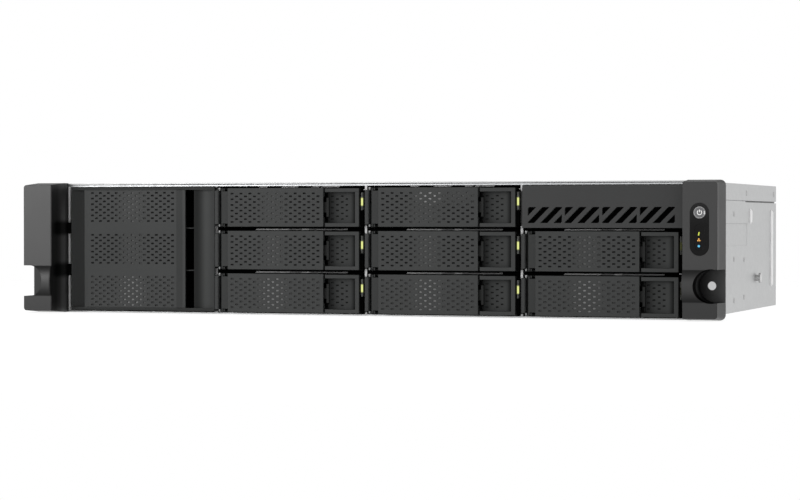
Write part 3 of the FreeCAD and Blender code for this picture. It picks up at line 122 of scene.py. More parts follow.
# ------------------------------------------------------------------ shader recipes
class Recipe:
    """Short calls for laying out one shader node tree."""

    def __init__(self, tree: Tree) -> None:
        """Args:
            tree: the node tree to fill.
        """
        self.tree = tree

    def node(self, kind: str, **settings: object) -> Node:
        """Adds a node.

        Args:
            kind: the node's type name.
            settings: attributes to set on it.

        Returns:
            The new node.
        """
        made = self.tree.nodes.new(kind)
        for name, value in settings.items():
            setattr(made, name, value)
        return made

    def feed(self, socket: Socket, value: object) -> None:
        """Links a socket to another, or sets its plain value.

        Args:
            socket: the input to feed.
            value: an output socket, a number or a tuple.
        """
        if isinstance(value, Socket):
            self.tree.links.new(value, socket)
        else:
            socket.default_value = value

    def math(self, operation: str, first: object, second: object = 0.0,
             third: object = 0.0) -> Socket:
        """One arithmetic step.

        Args:
            operation: the Math node's operation.
            first: first input.
            second: second input.
            third: third input.

        Returns:
            The result's socket.
        """
        made = self.node("ShaderNodeMath", operation=operation)
        for socket, value in zip(made.inputs, (first, second, third)):
            self.feed(socket, value)
        return made.outputs[0]

    def blend(self, share: object, first: object, second: object,
              mode: str = "MIX") -> Socket:
        """Mixes two colours.

        Args:
            share: how much of the second colour shows.
            first: a colour or a socket.
            second: a colour or a socket.
            mode: the Mix node's blend type.

        Returns:
            The mixed colour's socket.
        """
        made = self.node("ShaderNodeMix", data_type="RGBA", blend_type=mode)
        self.feed(made.inputs["Factor"], share)
        self.feed(made.inputs[6], first if isinstance(first, Socket) else (*first, 1.0))
        self.feed(made.inputs[7], second if isinstance(second, Socket) else (*second, 1.0))
        return made.outputs[2]

    def span(self, value: object, low: float, high: float, to_low: float,
             to_high: float) -> Socket:
        """Maps a value from one range to another, kept inside it.

        Args:
            value: what to map.
            low: start of the old range.
            high: end of the old range.
            to_low: start of the new range.
            to_high: end of the new range.

        Returns:
            The mapped value's socket.
        """
        made = self.node("ShaderNodeMapRange", interpolation_type="SMOOTHSTEP")
        self.fill(made, From_Min=low, From_Max=high, To_Min=to_low, To_Max=to_high, Value=value)
        return made.outputs["Result"]

    def noise(self, place: object, scale: object, detail: float = 3.0) -> Socket:
        """A noise value.

        Args:
            place: coordinates.
            scale: size of the pattern.
            detail: octaves.

        Returns:
            The noise value's socket.
        """
        made = self.node("ShaderNodeTexNoise")
        self.fill(made, Vector=place, Scale=scale, Detail=detail)
        return made.outputs[0]

    def reach(self, across: object, up: object) -> Socket:
        """How far a spot lies from zero, from its two coordinates."""
        squares = [self.math("MULTIPLY", side, side) for side in (across, up)]
        return self.math("SQRT", self.math("ADD", *squares))

    def mirrored(self, rays: Node) -> Socket:
        """Whether a ray has been reflected or let through."""
        return self.math("MAXIMUM", rays.outputs["Is Glossy Ray"], rays.outputs["Is Transmission Ray"])

    def place(self) -> Socket:
        """Coordinates that move with the piece."""
        return self.node("ShaderNodeTexCoord").outputs["Object"]

    def parts(self, vector: Socket) -> Node:
        """Splits a vector into its three numbers.

        Args:
            vector: the vector.

        Returns:
            The split vector's node.
        """
        made = self.node("ShaderNodeSeparateXYZ")
        self.feed(made.inputs[0], vector)
        return made

    def vector(self, operation: str, first: object,
               second: object = (0.0, 0.0, 0.0)) -> Socket:
        """One vector step.

        Args:
            operation: the Vector Math node's operation.
            first: first input.
            second: second input.

        Returns:
            The resulting vector's socket.
        """
        made = self.node("ShaderNodeVectorMath", operation=operation)
        self.feed(made.inputs[0], first)
        self.feed(made.inputs[1], second)
        return made.outputs["Vector"]

    def bump(self, height: object, strength: float, distance: float,
             normal: Optional[Socket] = None) -> Socket:
        """A bumped normal.

        Args:
            height: height socket.
            strength: how strong the bump is.
            distance: height in metres.
            normal: the normal to start from.

        Returns:
            The normal's socket.
        """
        made = self.node("ShaderNodeBump")
        self.fill(made, Strength=strength, Distance=distance, Height=height)
        if normal is not None:
            self.feed(made.inputs["Normal"], normal)
        return made.outputs[0]

    def fill(self, node: Node, **values: object) -> None:
        """Feeds a node's inputs.

        Args:
            node: the node.
            values: its inputs by name, with _ for a space.
        """
        for name, value in values.items():
            self.feed(node.inputs[name.replace("_", " ")], value)

    def effect(self, group: Tree, **values: object) -> Node:
        """Places a shared effect.

        Args:
            group: the effect's node group.
            values: its inputs by name, with _ for a space.

        Returns:
            The group node.
        """
        made = self.node("ShaderNodeGroup", node_tree=group)
        self.fill(made, **values)
        return made


class Effects:
    """The shared surface effects, each a node group that is built once."""

    def __init__(self) -> None:
        """Builds every group."""
        self.grain = self._grain()
        self.soft_edge = self._soft_edge()
        self.spangle = self._spangle()
        self.dust = self._dust()
        self.pool = self._pool()

    @staticmethod
    def _open(name: str, inputs: dict[str, float | Point], outputs: dict[str, str]
              ) -> tuple[Recipe, Node, Node]:
        """Starts a group.

        Args:
            name: the group's name.
            inputs: number or vector inputs with their defaults.
            outputs: output names with their socket types.

        Returns:
            The recipe, the group's input node and its output node.
        """
        tree = bpy.data.node_groups.new(name, "ShaderNodeTree")
        for label, default in inputs.items():
            kind = "NodeSocketVector" if isinstance(default, tuple) else "NodeSocketFloat"
            socket = tree.interface.new_socket(label, in_out="INPUT", socket_type=kind)
            socket.default_value = default
        for label, kind in outputs.items():
            tree.interface.new_socket(label, in_out="OUTPUT", socket_type=kind)
        recipe = Recipe(tree)
        return recipe, recipe.node("NodeGroupInput"), recipe.node("NodeGroupOutput")

    def _grain(self) -> Tree:
        """Fine moulding grain: a broad tone that drifts and a close-set height.

        Returns:
            The group.
        """
        recipe, given, out = self._open("moulding_grain", {"Scale": 2500.0, "Drift Scale": 18.0},
                                        {"Tone": "NodeSocketFloat", "Height": "NodeSocketFloat"})
        place = recipe.place()
        fine = recipe.noise(place, given.outputs["Scale"], 2.0)
        drift = recipe.noise(place, given.outputs["Drift Scale"], 3.0)
        tone = recipe.math("MULTIPLY_ADD", fine, 0.35, recipe.math("MULTIPLY", drift, 0.65))
        recipe.fill(out, Tone=tone, Height=fine)
        return recipe.tree

    def _soft_edge(self) -> Tree:
        """A rounded normal at sharp corners, and a mask that marks them.

        Returns:
            The group.
        """
        recipe, given, out = self._open("soft_edge", {"Radius": 0.0004},
                                        {"Normal": "NodeSocketVector", "Edge": "NodeSocketFloat"})
        bevel = recipe.node("ShaderNodeBevel", samples=4)
        recipe.fill(bevel, Radius=given.outputs["Radius"])
        flat = recipe.node("ShaderNodeNewGeometry").outputs["True Normal"]
        likeness = recipe.node("ShaderNodeVectorMath", operation="DOT_PRODUCT")
        recipe.feed(likeness.inputs[0], bevel.outputs[0])
        recipe.feed(likeness.inputs[1], flat)
        edge = recipe.span(likeness.outputs["Value"], 0.80, 0.995, 1.0, 0.0)
        recipe.fill(out, Normal=bevel.outputs[0], Edge=edge)
        return recipe.tree

    def _spangle(self) -> Tree:
        """Zinc spangle: small flat crystals of slightly different tone, and rolling lines.

        Returns:
            The group.
        """
        recipe, given, out = self._open("zinc_spangle", {"Scale": 420.0},
                                        {"Tone": "NodeSocketFloat", "Height": "NodeSocketFloat"})
        place = recipe.place()
        cells = recipe.node("ShaderNodeTexVoronoi", feature="F1")
        recipe.fill(cells, Vector=place, Scale=given.outputs["Scale"])
        crystal = recipe.parts(cells.outputs["Color"]).outputs[0]
        fine = recipe.noise(place, 1800.0, 2.0)
        share = recipe.math("MULTIPLY", fine, 0.4)
        recipe.fill(out, Tone=recipe.math("MULTIPLY_ADD", crystal, 0.6, share), Height=fine)
        return recipe.tree

    def _dust(self) -> Tree:
        """Thin dust that lies on what faces up.

        Returns:
            The group.
        """
        recipe, given, out = self._open("settled_dust", {"Amount": 0.2}, {"Mask": "NodeSocketFloat"})
        normal = recipe.parts(recipe.node("ShaderNodeNewGeometry").outputs["Normal"])
        facing = recipe.span(normal.outputs["Z"], 0.5, 1.0, 0.0, 1.0)
        patch = recipe.span(recipe.noise(recipe.place(), 60.0, 5.0), 0.35, 0.75, 0.2, 1.0)
        mask = recipe.math("MULTIPLY", recipe.math("MULTIPLY", facing, patch), given.outputs["Amount"])
        recipe.fill(out, Mask=mask)
        return recipe.tree

    def _pool(self) -> Tree:
        """A soft-sided box round a place on the piece.

        Returns:
            The group.
        """
        defaults = {"Centre": (0.0, 0.0, 0.0), "Reach": (0.01, 0.01, 0.01), "Fade": (0.001, 0.001, 0.001)}
        recipe, given, out = self._open("tone_pool", defaults, {"Mask": "NodeSocketFloat",
                                                                "Round": "NodeSocketFloat"})
        offset = recipe.vector("ABSOLUTE", recipe.vector("SUBTRACT", recipe.place(), given.outputs["Centre"]))
        depth = recipe.vector("DIVIDE", recipe.vector("SUBTRACT", given.outputs["Reach"], offset),
                              given.outputs["Fade"])
        kept = recipe.parts(recipe.vector("MINIMUM", recipe.vector("MAXIMUM", depth, (0.0, 0.0, 0.0)),
                                          (1.0, 1.0, 1.0)))
        mask = recipe.math("MULTIPLY", recipe.math("MULTIPLY", kept.outputs["X"], kept.outputs["Y"]),
                           kept.outputs["Z"])
        share = recipe.node("ShaderNodeVectorMath", operation="LENGTH")
        recipe.feed(share.inputs[0], recipe.vector("DIVIDE", offset, given.outputs["Reach"]))
        recipe.fill(out, Mask=mask, Round=recipe.span(share.outputs["Value"], 0.95, 1.0, 1.0, 0.0))
        return recipe.tree


EFFECTS = Effects()


@dataclass(frozen=True)
class Pool:
    """A region of a piece with painted shade or painted light: a darker or lighter tone, in the piece's own
    millimetres.

    Attributes:
        centre: its middle.
        reach: how far it goes from its middle on each axis.
        fade: how much of that reach is spent on fading out.
        tone: what the colour and the sheen are multiplied by at its middle.
        round: whether it is an ellipsoid, whose last twentieth fades out, and not a box.
    """

    centre: Point
    reach: Point
    fade: Point
    tone: float
    round: bool = False

    def spread(self, recipe: Recipe) -> Socket:
        """The pool's tone at each place.

        Args:
            recipe: the material's recipe.

        Returns:
            The tone's socket, 1 outside the pool.
        """
        mask = recipe.effect(EFFECTS.pool, Centre=in_metres(self.centre), Reach=in_metres(self.reach),
                             Fade=in_metres(self.fade)).outputs["Round" if self.round else "Mask"]
        return recipe.span(mask, 0.0, 1.0, 1.0, self.tone)


# ------------------------------------------------------------------ finishes
@dataclass(frozen=True)
class Finish(ABC):
    """A surface finish that makes one material.

    Attributes:
        name: the material's name.
        slot: the record's material slot that it belongs to.
    """

    name: str
    slot: str

    def material(self) -> bpy.types.Material:
        """The finish's material, made on first use.

        Returns:
            The material.
        """
        found = bpy.data.materials.get(self.name)
        if found:
            return found
        made = bpy.data.materials.new(self.name)
        made.use_nodes = True
        recipe = Recipe(made.node_tree)
        self.lay(recipe, made.node_tree.nodes["Principled BSDF"])
        return made

    @abstractmethod
    def lay(self, recipe: Recipe, shader: Node) -> None:
        """Lays out the nodes.

        Args:
            recipe: the material's recipe.
            shader: its Principled node.
        """


@dataclass(frozen=True)
class Moulding(Finish):
    """Moulded plastic with a fine grain, soft edges that are worn lighter or painted darker as shade, a
    little dust, painted shade on the sheen of faces that look up, and painted shade or light from its pools.
    """

    colour: Colour = (0.03, 0.03, 0.03)
    edge_wear_and_shade: Colour = (0.06, 0.06, 0.06)
    roughness: float = 0.5
    grain: float = 0.18
    grain_scale: float = 2500.0
    edge_radius: float = 0.0004
    dust: float = 0.05
    specular: float = 0.5
    pools: tuple[Pool, ...] = ()

    def lay(self, recipe: Recipe, shader: Node) -> None:
        """Lays out the plastic.

        Args:
            recipe: the material's recipe.
            shader: its Principled node.
        """
        grain = recipe.effect(EFFECTS.grain, Scale=self.grain_scale, Drift_Scale=22.0)
        edge = recipe.effect(EFFECTS.soft_edge, Radius=self.edge_radius)
        dust = recipe.effect(EFFECTS.dust, Amount=self.dust)
        base = recipe.blend(grain.outputs["Tone"], self.colour, scaled(self.colour, 1.16))
        base = recipe.blend(edge.outputs["Edge"], base, self.edge_wear_and_shade)
        base = recipe.blend(dust.outputs["Mask"], base, (0.14, 0.14, 0.13))
        # painted shade: faces that look up keep little sheen, so that tops read darker
        upward = recipe.parts(recipe.node("ShaderNodeNewGeometry").outputs["Normal"]).outputs["Z"]
        sheen = recipe.span(upward, 0.25, 0.85, self.specular, 0.12 * self.specular)
        # painted shade and painted light from the pools, on the colour and the sheen
        for pool in self.pools:
            tone = pool.spread(recipe)
            base = recipe.blend(1.0, base, tone, "MULTIPLY")
            sheen = recipe.math("MULTIPLY", sheen, tone)
        rough = recipe.span(grain.outputs["Tone"], 0.2, 0.8, self.roughness - 0.05, self.roughness + 0.06)
        normal = recipe.bump(grain.outputs["Height"], self.grain, 0.00006, edge.outputs["Normal"])
        recipe.fill(shader, Base_Color=base, Roughness=rough, Specular_IOR_Level=sheen, Normal=normal)


@dataclass(frozen=True)
class Sheet(Finish):
    """Zinc-coated or plated sheet with spangle, bright cut edges and a soft sheen, with painted shade or
    light from its pools and a painted highlight on raised beads.
    """

    colour: Colour = (0.55, 0.56, 0.57)
    roughness: float = 0.42
    metallic: float = 0.85
    contrast: float = 0.10
    spangle_scale: float = 420.0
    edge_radius: float = 0.0004
    bump: float = 0.10
    bead_highlight_x: float = 0.0
    pools: tuple[Pool, ...] = ()

    def lay(self, recipe: Recipe, shader: Node) -> None:
        """Lays out the sheet.

        Args:
            recipe: the material's recipe.
            shader: its Principled node.
        """
        spangle = recipe.effect(EFFECTS.spangle, Scale=self.spangle_scale)
        edge = recipe.effect(EFFECTS.soft_edge, Radius=self.edge_radius)
        dust = recipe.effect(EFFECTS.dust, Amount=0.10)
        base = recipe.blend(spangle.outputs["Tone"], scaled(self.colour, 1 - self.contrast), self.colour)
        base = recipe.blend(edge.outputs["Edge"], base, scaled(self.colour, 1.25))
        base = recipe.blend(dust.outputs["Mask"], base, (0.45, 0.44, 0.42))
        # painted shade and painted light from the pools
        for pool in self.pools:
            base = recipe.blend(1.0, base, pool.spread(recipe), "MULTIPLY")
        metallic: object = self.metallic
        # painted highlight: raised beads past this width are painted near white and made less metallic
        if self.bead_highlight_x:
            across = recipe.math("ABSOLUTE", recipe.parts(recipe.place()).outputs["X"])
            low, high = (self.bead_highlight_x - 0.1) * MM, (self.bead_highlight_x + 0.3) * MM
            raised = recipe.span(across, low, high, 0.0, 1.0)
            base = recipe.blend(raised, base, (1.0, 1.0, 1.0))
            metallic = recipe.math("MULTIPLY_ADD", raised, -0.6, self.metallic)
        rough = recipe.span(spangle.outputs["Tone"], 0.1, 0.9, self.roughness - 0.06, self.roughness + 0.08)
        normal = recipe.bump(spangle.outputs["Height"], self.bump, 0.00004, edge.outputs["Normal"])
        recipe.fill(shader, Base_Color=base, Metallic=metallic, Roughness=rough, Normal=normal)


@dataclass(frozen=True)
class GlossPanel(Finish):
    """Glossy black plastic with faint wiping marks and a painted reflection that lightens it towards the top.
    """

    colour: Colour = (0.004, 0.004, 0.004)
    roughness: float = 0.09
    specular: float = 0.12

    def lay(self, recipe: Recipe, shader: Node) -> None:
        """Lays out the gloss.

        Args:
            recipe: the material's recipe.
            shader: its Principled node.
        """
        smears = recipe.noise(recipe.place(), 90.0, 4.0)
        edge = recipe.effect(EFFECTS.soft_edge, Radius=0.0005)
        height = recipe.parts(recipe.place()).outputs["Z"]
        base = recipe.blend(smears, self.colour, scaled(self.colour, 2.5))
        # painted reflection: lighter towards the window's top
        base = recipe.blend(recipe.span(height, 0.058, 0.074, 0.0, 0.9), base, (0.022, 0.022, 0.022))
        rough = recipe.span(smears, 0.3, 0.8, self.roughness, self.roughness + 0.08)
        recipe.fill(shader, Base_Color=base, Roughness=rough, Specular_IOR_Level=self.specular,
                    Normal=edge.outputs["Normal"])


@dataclass(frozen=True)
class TurnedMetal(Finish):
    """Bright metal with turning marks about one axis."""

    colour: Colour = (0.45, 0.45, 0.46)
    centre: Spot = (0.0, 0.0)
    roughness: float = 0.28

    def lay(self, recipe: Recipe, shader: Node) -> None:
        """Lays out the metal.

        Args:
            recipe: the material's recipe.
            shader: its Principled node.
        """
        spot = recipe.parts(recipe.place())
        across = recipe.math("SUBTRACT", spot.outputs["X"], self.centre[0] * MM)
        up = recipe.math("SUBTRACT", spot.outputs["Z"], self.centre[1] * MM)
        rings = recipe.math("SINE", recipe.math("MULTIPLY", recipe.reach(across, up), 26000.0))
        edge = recipe.effect(EFFECTS.soft_edge, Radius=0.0005)
        tone = recipe.span(rings, -1.0, 1.0, 0.0, 1.0)
        base = recipe.blend(tone, scaled(self.colour, 0.82), self.colour)
        rough = recipe.span(tone, 0.0, 1.0, self.roughness, self.roughness + 0.1)
        normal = recipe.bump(rings, 0.06, 0.00003, edge.outputs["Normal"])
        recipe.fill(shader, Base_Color=base, Metallic=1.0, Roughness=rough, Normal=normal)


@dataclass(frozen=True)
class Board(Finish):
    """Circuit board: solder mask over fine tracks and pads."""

    colour: Colour = (0.012, 0.075, 0.035)

    def lay(self, recipe: Recipe, shader: Node) -> None:
        """Lays out the board.

        Args:
            recipe: the material's recipe.
            shader: its Principled node.
        """
        place = recipe.place()
        tracks = recipe.node("ShaderNodeTexBrick")
        recipe.fill(tracks, Vector=place, Scale=260.0, Mortar_Size=0.03)
        drift = recipe.noise(place, 40.0, 3.0)
        base = recipe.blend(drift, self.colour, scaled(self.colour, 1.8))
        base = recipe.blend(recipe.math("MULTIPLY", tracks.outputs["Fac"], 0.5), base, (0.03, 0.16, 0.07))
        recipe.fill(shader, Base_Color=base, Roughness=recipe.span(drift, 0.3, 0.7, 0.32, 0.48),
                    Normal=recipe.bump(tracks.outputs["Fac"], 0.15, 0.00005))


class Glow(Enum):
    """Where painted light shows through a perforated front, as pale patches on the screen behind it.

    Each patch is its middle from the screen's own middle and floor, its half width and half height, in
    millimetres, and its tone.
    """

    FAINT = ((0.0, 13.0, 12.0, 30.0, 0.14),)
    MIDDLE = ((0.0, 13.0, 11.0, 30.0, 0.19),)
    HIGH = ((1.0, 20.0, 13.0, 9.0, 0.50), (-2.0, 9.0, 15.0, 16.0, 0.14), (22.0, 20.5, 17.0, 8.5, 0.13))
    FULL = ((0.0, 13.0, 13.0, 26.0, 0.34),)
    COVER_LOW = ((0.0, 12.0, 13.0, 22.0, 0.34),)
    COVER_HIGH = ((0.0, 13.0, 13.0, 26.0, 0.19),)


@dataclass(frozen=True)
class AirScreen(Finish):
    """The screen behind air holes, with painted shade at the sides and painted light at its middle."""

    glow: Glow = Glow.FAINT
    middle_x: float = 45.0
    low_z: float = 0.0

    @property
    def deep(self) -> float:
        """The painted shade beside the patches, paler for the screens that are lit all over."""
        return 0.065 if self.glow in (Glow.FULL, Glow.COVER_LOW) else 0.018

    def lay(self, recipe: Recipe, shader: Node) -> None:
        """Lays out the screen.

        Args:
            recipe: the material's recipe.
            shader: its Principled node.
        """
        place = recipe.place()
        spot = recipe.parts(place)
        share: object = 0.0
        for across, up, half_width, half_height, tone in self.glow.value:
            centre = ((self.middle_x + across) * MM, (self.low_z + up) * MM)
            patch = self._patch(recipe, spot, centre, (half_width, half_height), tone)
            share = recipe.math("MAXIMUM", share, patch)
        weave = recipe.noise(place, 1500.0, 2.0)
        share = recipe.math("MULTIPLY", share, recipe.span(weave, 0.2, 0.8, 0.8, 1.1))
        # painted shade as the screen's colour, lightened to painted light inside the patches
        base = recipe.blend(share, (self.deep,) * 3, (1.0, 1.0, 1.0))
        recipe.fill(shader, Base_Color=base, Roughness=0.8, Specular_IOR_Level=0.05,
                    Normal=recipe.bump(weave, 0.2, 0.00005))

    @staticmethod
    def _patch(recipe: Recipe, spot: Node, centre: Spot, halves: Spot,
               tone: float) -> Socket:
        """One patch of painted light.

        Args:
            recipe: the material's recipe.
            spot: the split coordinates.
            centre: its middle in metres.
            halves: its half width and half height, in millimetres.
            tone: its tone at the middle.

        Returns:
            The patch's tone at each place.
        """
        across, up = (recipe.math("DIVIDE", recipe.math("SUBTRACT", spot.outputs[axis], middle), half * MM)
                      for axis, middle, half in zip("XZ", centre, halves))
        return recipe.span(recipe.reach(across, up), 0.15, 1.1, tone, 0.0)


@dataclass(frozen=True)
class Lamp(Finish):
    """A lit lens: bright between two heights, milky elsewhere."""

    lit: Colour = (0.80, 0.85, 0.30)
    milky: Colour = (0.16, 0.17, 0.15)
    low_z: float = 0.0
    high_z: float = 100.0
    fade: float = 1.0
    strength: float = 1.0
    front_y: float = 1000.0

    def lay(self, recipe: Recipe, shader: Node) -> None:
        """Lays out the lens.

        Args:
            recipe: the material's recipe.
            shader: its Principled node.
        """
        spot = recipe.parts(recipe.place())
        height = spot.outputs["Z"]
        steps = ((height, self.low_z, self.fade, 0.0), (height, self.high_z, self.fade, 1.0),
                 (spot.outputs["Y"], self.front_y, 0.2, 1.0))
        rise, fall, near = (recipe.span(value, (edge - fade) * MM, (edge + fade) * MM, start, 1.0 - start)
                            for value, edge, fade, start in steps)
        mask = recipe.math("MULTIPLY", recipe.math("MULTIPLY", rise, fall), near)
        cloud = recipe.noise(recipe.place(), 700.0, 2.0)
        milk = recipe.blend(cloud, self.milky, scaled(self.milky, 1.2))
        recipe.fill(shader, Base_Color=recipe.blend(mask, milk, (0.05, 0.05, 0.02)),
                    Emission_Color=recipe.blend(mask, (0.0, 0.0, 0.0), self.lit),
                    Emission_Strength=self.strength, Roughness=recipe.span(cloud, 0.3, 0.7, 0.22, 0.34))


@dataclass(frozen=True)
class Ground(Finish):
    """The pale floor, which fades out far from the object."""

    colour: Colour = (0.90, 0.90, 0.90)
    near: float = 0.45
    far: float = 0.95
    kept: float = 0.4
    fill: float = 0.86

    def lay(self, recipe: Recipe, shader: Node) -> None:
        """Lays out the floor.

        Args:
            recipe: the material's recipe.
            shader: its Principled node.
        """
        place = recipe.place()
        speck = recipe.noise(place, 300.0, 3.0)
        base = recipe.blend(speck, self.colour, scaled(self.colour, 0.985))
        rays = recipe.node("ShaderNodeLightPath")
        seen = recipe.math("MAXIMUM", rays.outputs["Is Camera Ray"], recipe.mirrored(rays))
        kept = recipe.math("MULTIPLY_ADD", seen, self.kept - 1.0, 1.0)
        base = recipe.blend(1.0, base, kept, "MULTIPLY")
        glow = recipe.math("MULTIPLY", seen, self.fill)
        length = recipe.node("ShaderNodeVectorMath", operation="LENGTH")
        recipe.feed(length.inputs[0], place)
        fade = recipe.span(length.outputs["Value"], self.near, self.far, 1.0, 0.0)
        recipe.fill(shader, Base_Color=base, Emission_Color=(1.0, 1.0, 1.0, 1.0), Emission_Strength=glow,
                    Roughness=0.85, Specular_IOR_Level=0.0, Alpha=fade)


def flange_pools() -> tuple[Pool, ...]:
    """The flange inside the screw pocket: painted shade beside the pocket's round wall, painted light further
    out.
    """
    return (Pool(SITE.point(222.0, 17.5, 21.9), (13.0, 1.2, 13.0), (11.0, 0.3, 0.1), 0.35),
            Pool(SITE.point(246.0, 17.5, 21.9), (17.0, 1.2, 13.0), (15.0, 0.3, 0.1), 1.5))


def chassis_pools() -> tuple[Pool, ...]:
    """Shadow on the lip behind the seam and on the rail band's top line, light on the band's end.

    Returns:
        The pools.
    """
    return (Pool(SITE.point(0.0, 255.0, 75.0), (218.2, 65.0, 4.0), (0.1, 0.5, 0.5), 0.12),
            Pool(SITE.point(0.0, 205.0, 53.0), (230.0, 0.4, 7.6), (0.1, 0.3, 0.3), 1.2),
            Pool(SITE.point(0.0, 115.0, 60.8), (230.0, 90.0, 0.5), (0.1, 0.3, 0.25), 0.80))


def divider_pools() -> tuple[Pool, ...]:
    """The dividers' front edges: shadow beside the trays and at the right end, light at the left end.

    Returns:
        The pools.
    """
    beside_trays = tuple(Pool(SITE.point(0.0, 24.0, floor + 11.9), (120.0, 6.0, 11.5), (0.5, 3.0, 0.4), 0.06)
                         for floor in ROW_FLOORS)
    return beside_trays + (
        Pool(SITE.point(0.0, 30.4, 44.0), (120.0, 6.4, 50.0), (0.5, 0.4, 0.4), 0.03),
        Pool(SITE.point(217.0, 24.0, 44.0), (2.0, 8.0, 50.0), (0.2, 3.0, 0.4), 0.05),
        Pool(SITE.point(-217.0, 24.0, 44.0), (2.0, 8.0, 50.0), (0.2, 3.0, 0.4), 1.25))


@dataclass(frozen=True)
class Palette:
    """Every finish of the enclosure."""

    bezel: Finish = Moulding("bezel_grain", "bezel_plastic", (0.026, 0.0275, 0.027), (0.040, 0.041, 0.040),
                             roughness=0.55, specular=0.35)
    lever: Finish = Moulding("lever_grain", "lever_plastic", (0.029, 0.0305, 0.030), (0.036, 0.037, 0.036),
                             roughness=0.55, edge_radius=0.0003, specular=0.35,
                             # painted shade round the lever's barrel and its stepped left strip
                             pools=(Pool((8.0, 18.0, 13.0), (2.75, 6.0, 20.0), (0.3, 0.1, 0.1), 0.80),))
    rivet: Finish = Sheet("rivet_zinc", "bare_steel", (0.47, 0.47, 0.47), metallic=0.6)
    vent: Finish = Moulding("vent_grain", "bezel_plastic", (0.031, 0.0315, 0.0315), (0.036, 0.037, 0.036),
                            roughness=0.55, specular=0.35)
    # painted shade: a dark sheet that stands behind the pockets' air holes
    pocket_shade_sheet: Finish = Moulding("pocket_shade_sheet_grain", "bezel_plastic", (0.014, 0.0145, 0.014),
                                   (0.014, 0.0145, 0.014), roughness=0.8, specular=0.1)
    # painted shade: the latch is coloured darker than the tray, and darker still on its edges, so that it
    # reads as shade in the pocket
    latch: Finish = Moulding("latch_grain", "lever_plastic", (0.012, 0.0125, 0.012), (0.010, 0.0105, 0.010),
                             roughness=0.6, specular=0.2)
    flange: Finish = Moulding("flange_coat", "black_steel", (0.036, 0.036, 0.036), (0.030, 0.030, 0.030),
                              roughness=0.5, grain=0.3, grain_scale=900.0, specular=0.3,
                              pools=flange_pools())
    socket: Finish = Moulding("socket_black", "socket_plastic", (0.012, 0.012, 0.012), (0.03, 0.03, 0.03))
    fan: Finish = Moulding("fan_black", "fan_plastic", (0.014, 0.014, 0.015), (0.03, 0.03, 0.03),
                           roughness=0.4)
    zinc: Finish = Sheet("zinc_sheet", "bare_steel", (0.515, 0.52, 0.522))
    # painted highlight on the side beads past 219.5 mm, and painted shade and light from the pools
    base_zinc: Finish = Sheet("pressed_zinc_sheet", "bare_steel", (0.515, 0.52, 0.522), bead_highlight_x=219.5,
                              pools=chassis_pools())
    fold: Finish = Sheet("shelf_fold_zinc", "bare_steel", (0.38, 0.38, 0.38), metallic=0.5)
    # painted shade: the same shelf folds, darker in the spans that should read unlit
    shaded_fold: Finish = Sheet("shelf_fold_shaded_zinc", "bare_steel", (0.15, 0.15, 0.15), metallic=0.5)
    pin: Finish = Sheet("hinge_pin", "bare_steel", (0.36, 0.36, 0.36), roughness=0.35, metallic=0.4)
    inner_zinc: Finish = Sheet("inner_zinc_sheet", "bare_steel", (0.60, 0.61, 0.62), roughness=0.35)
    divider_zinc: Finish = Sheet("divider_zinc_sheet", "bare_steel", (0.80, 0.80, 0.80), roughness=0.5,
                                 metallic=0.15, contrast=0.05, pools=divider_pools())
    # painted shade: near black with no sheen, for the shelves, the strips in the row gaps and the pad behind
    # the vent slots
    shade_black: Finish = Moulding("painted_shade_black", "bezel_plastic", (0.002, 0.002, 0.002), (0.002, 0.002, 0.002),
                            roughness=0.9, grain=0.6, grain_scale=900.0, dust=0.0, specular=0.0)
    stud: Finish = Sheet("plated_stud", "bare_steel", (0.50, 0.50, 0.50), roughness=0.22, metallic=1.0,
                         spangle_scale=1500.0)
    port: Finish = Sheet("port_shell", "port_metal", (0.62, 0.62, 0.62), roughness=0.25, metallic=1.0)
    fin: Finish = Sheet("extruded_fins", "fin_metal", (0.68, 0.68, 0.69), roughness=0.38, metallic=1.0)
    window: Finish = GlossPanel("status_gloss", "window_plastic")
    board: Finish = Board("solder_mask", "circuit_board")


PALETTE = Palette()


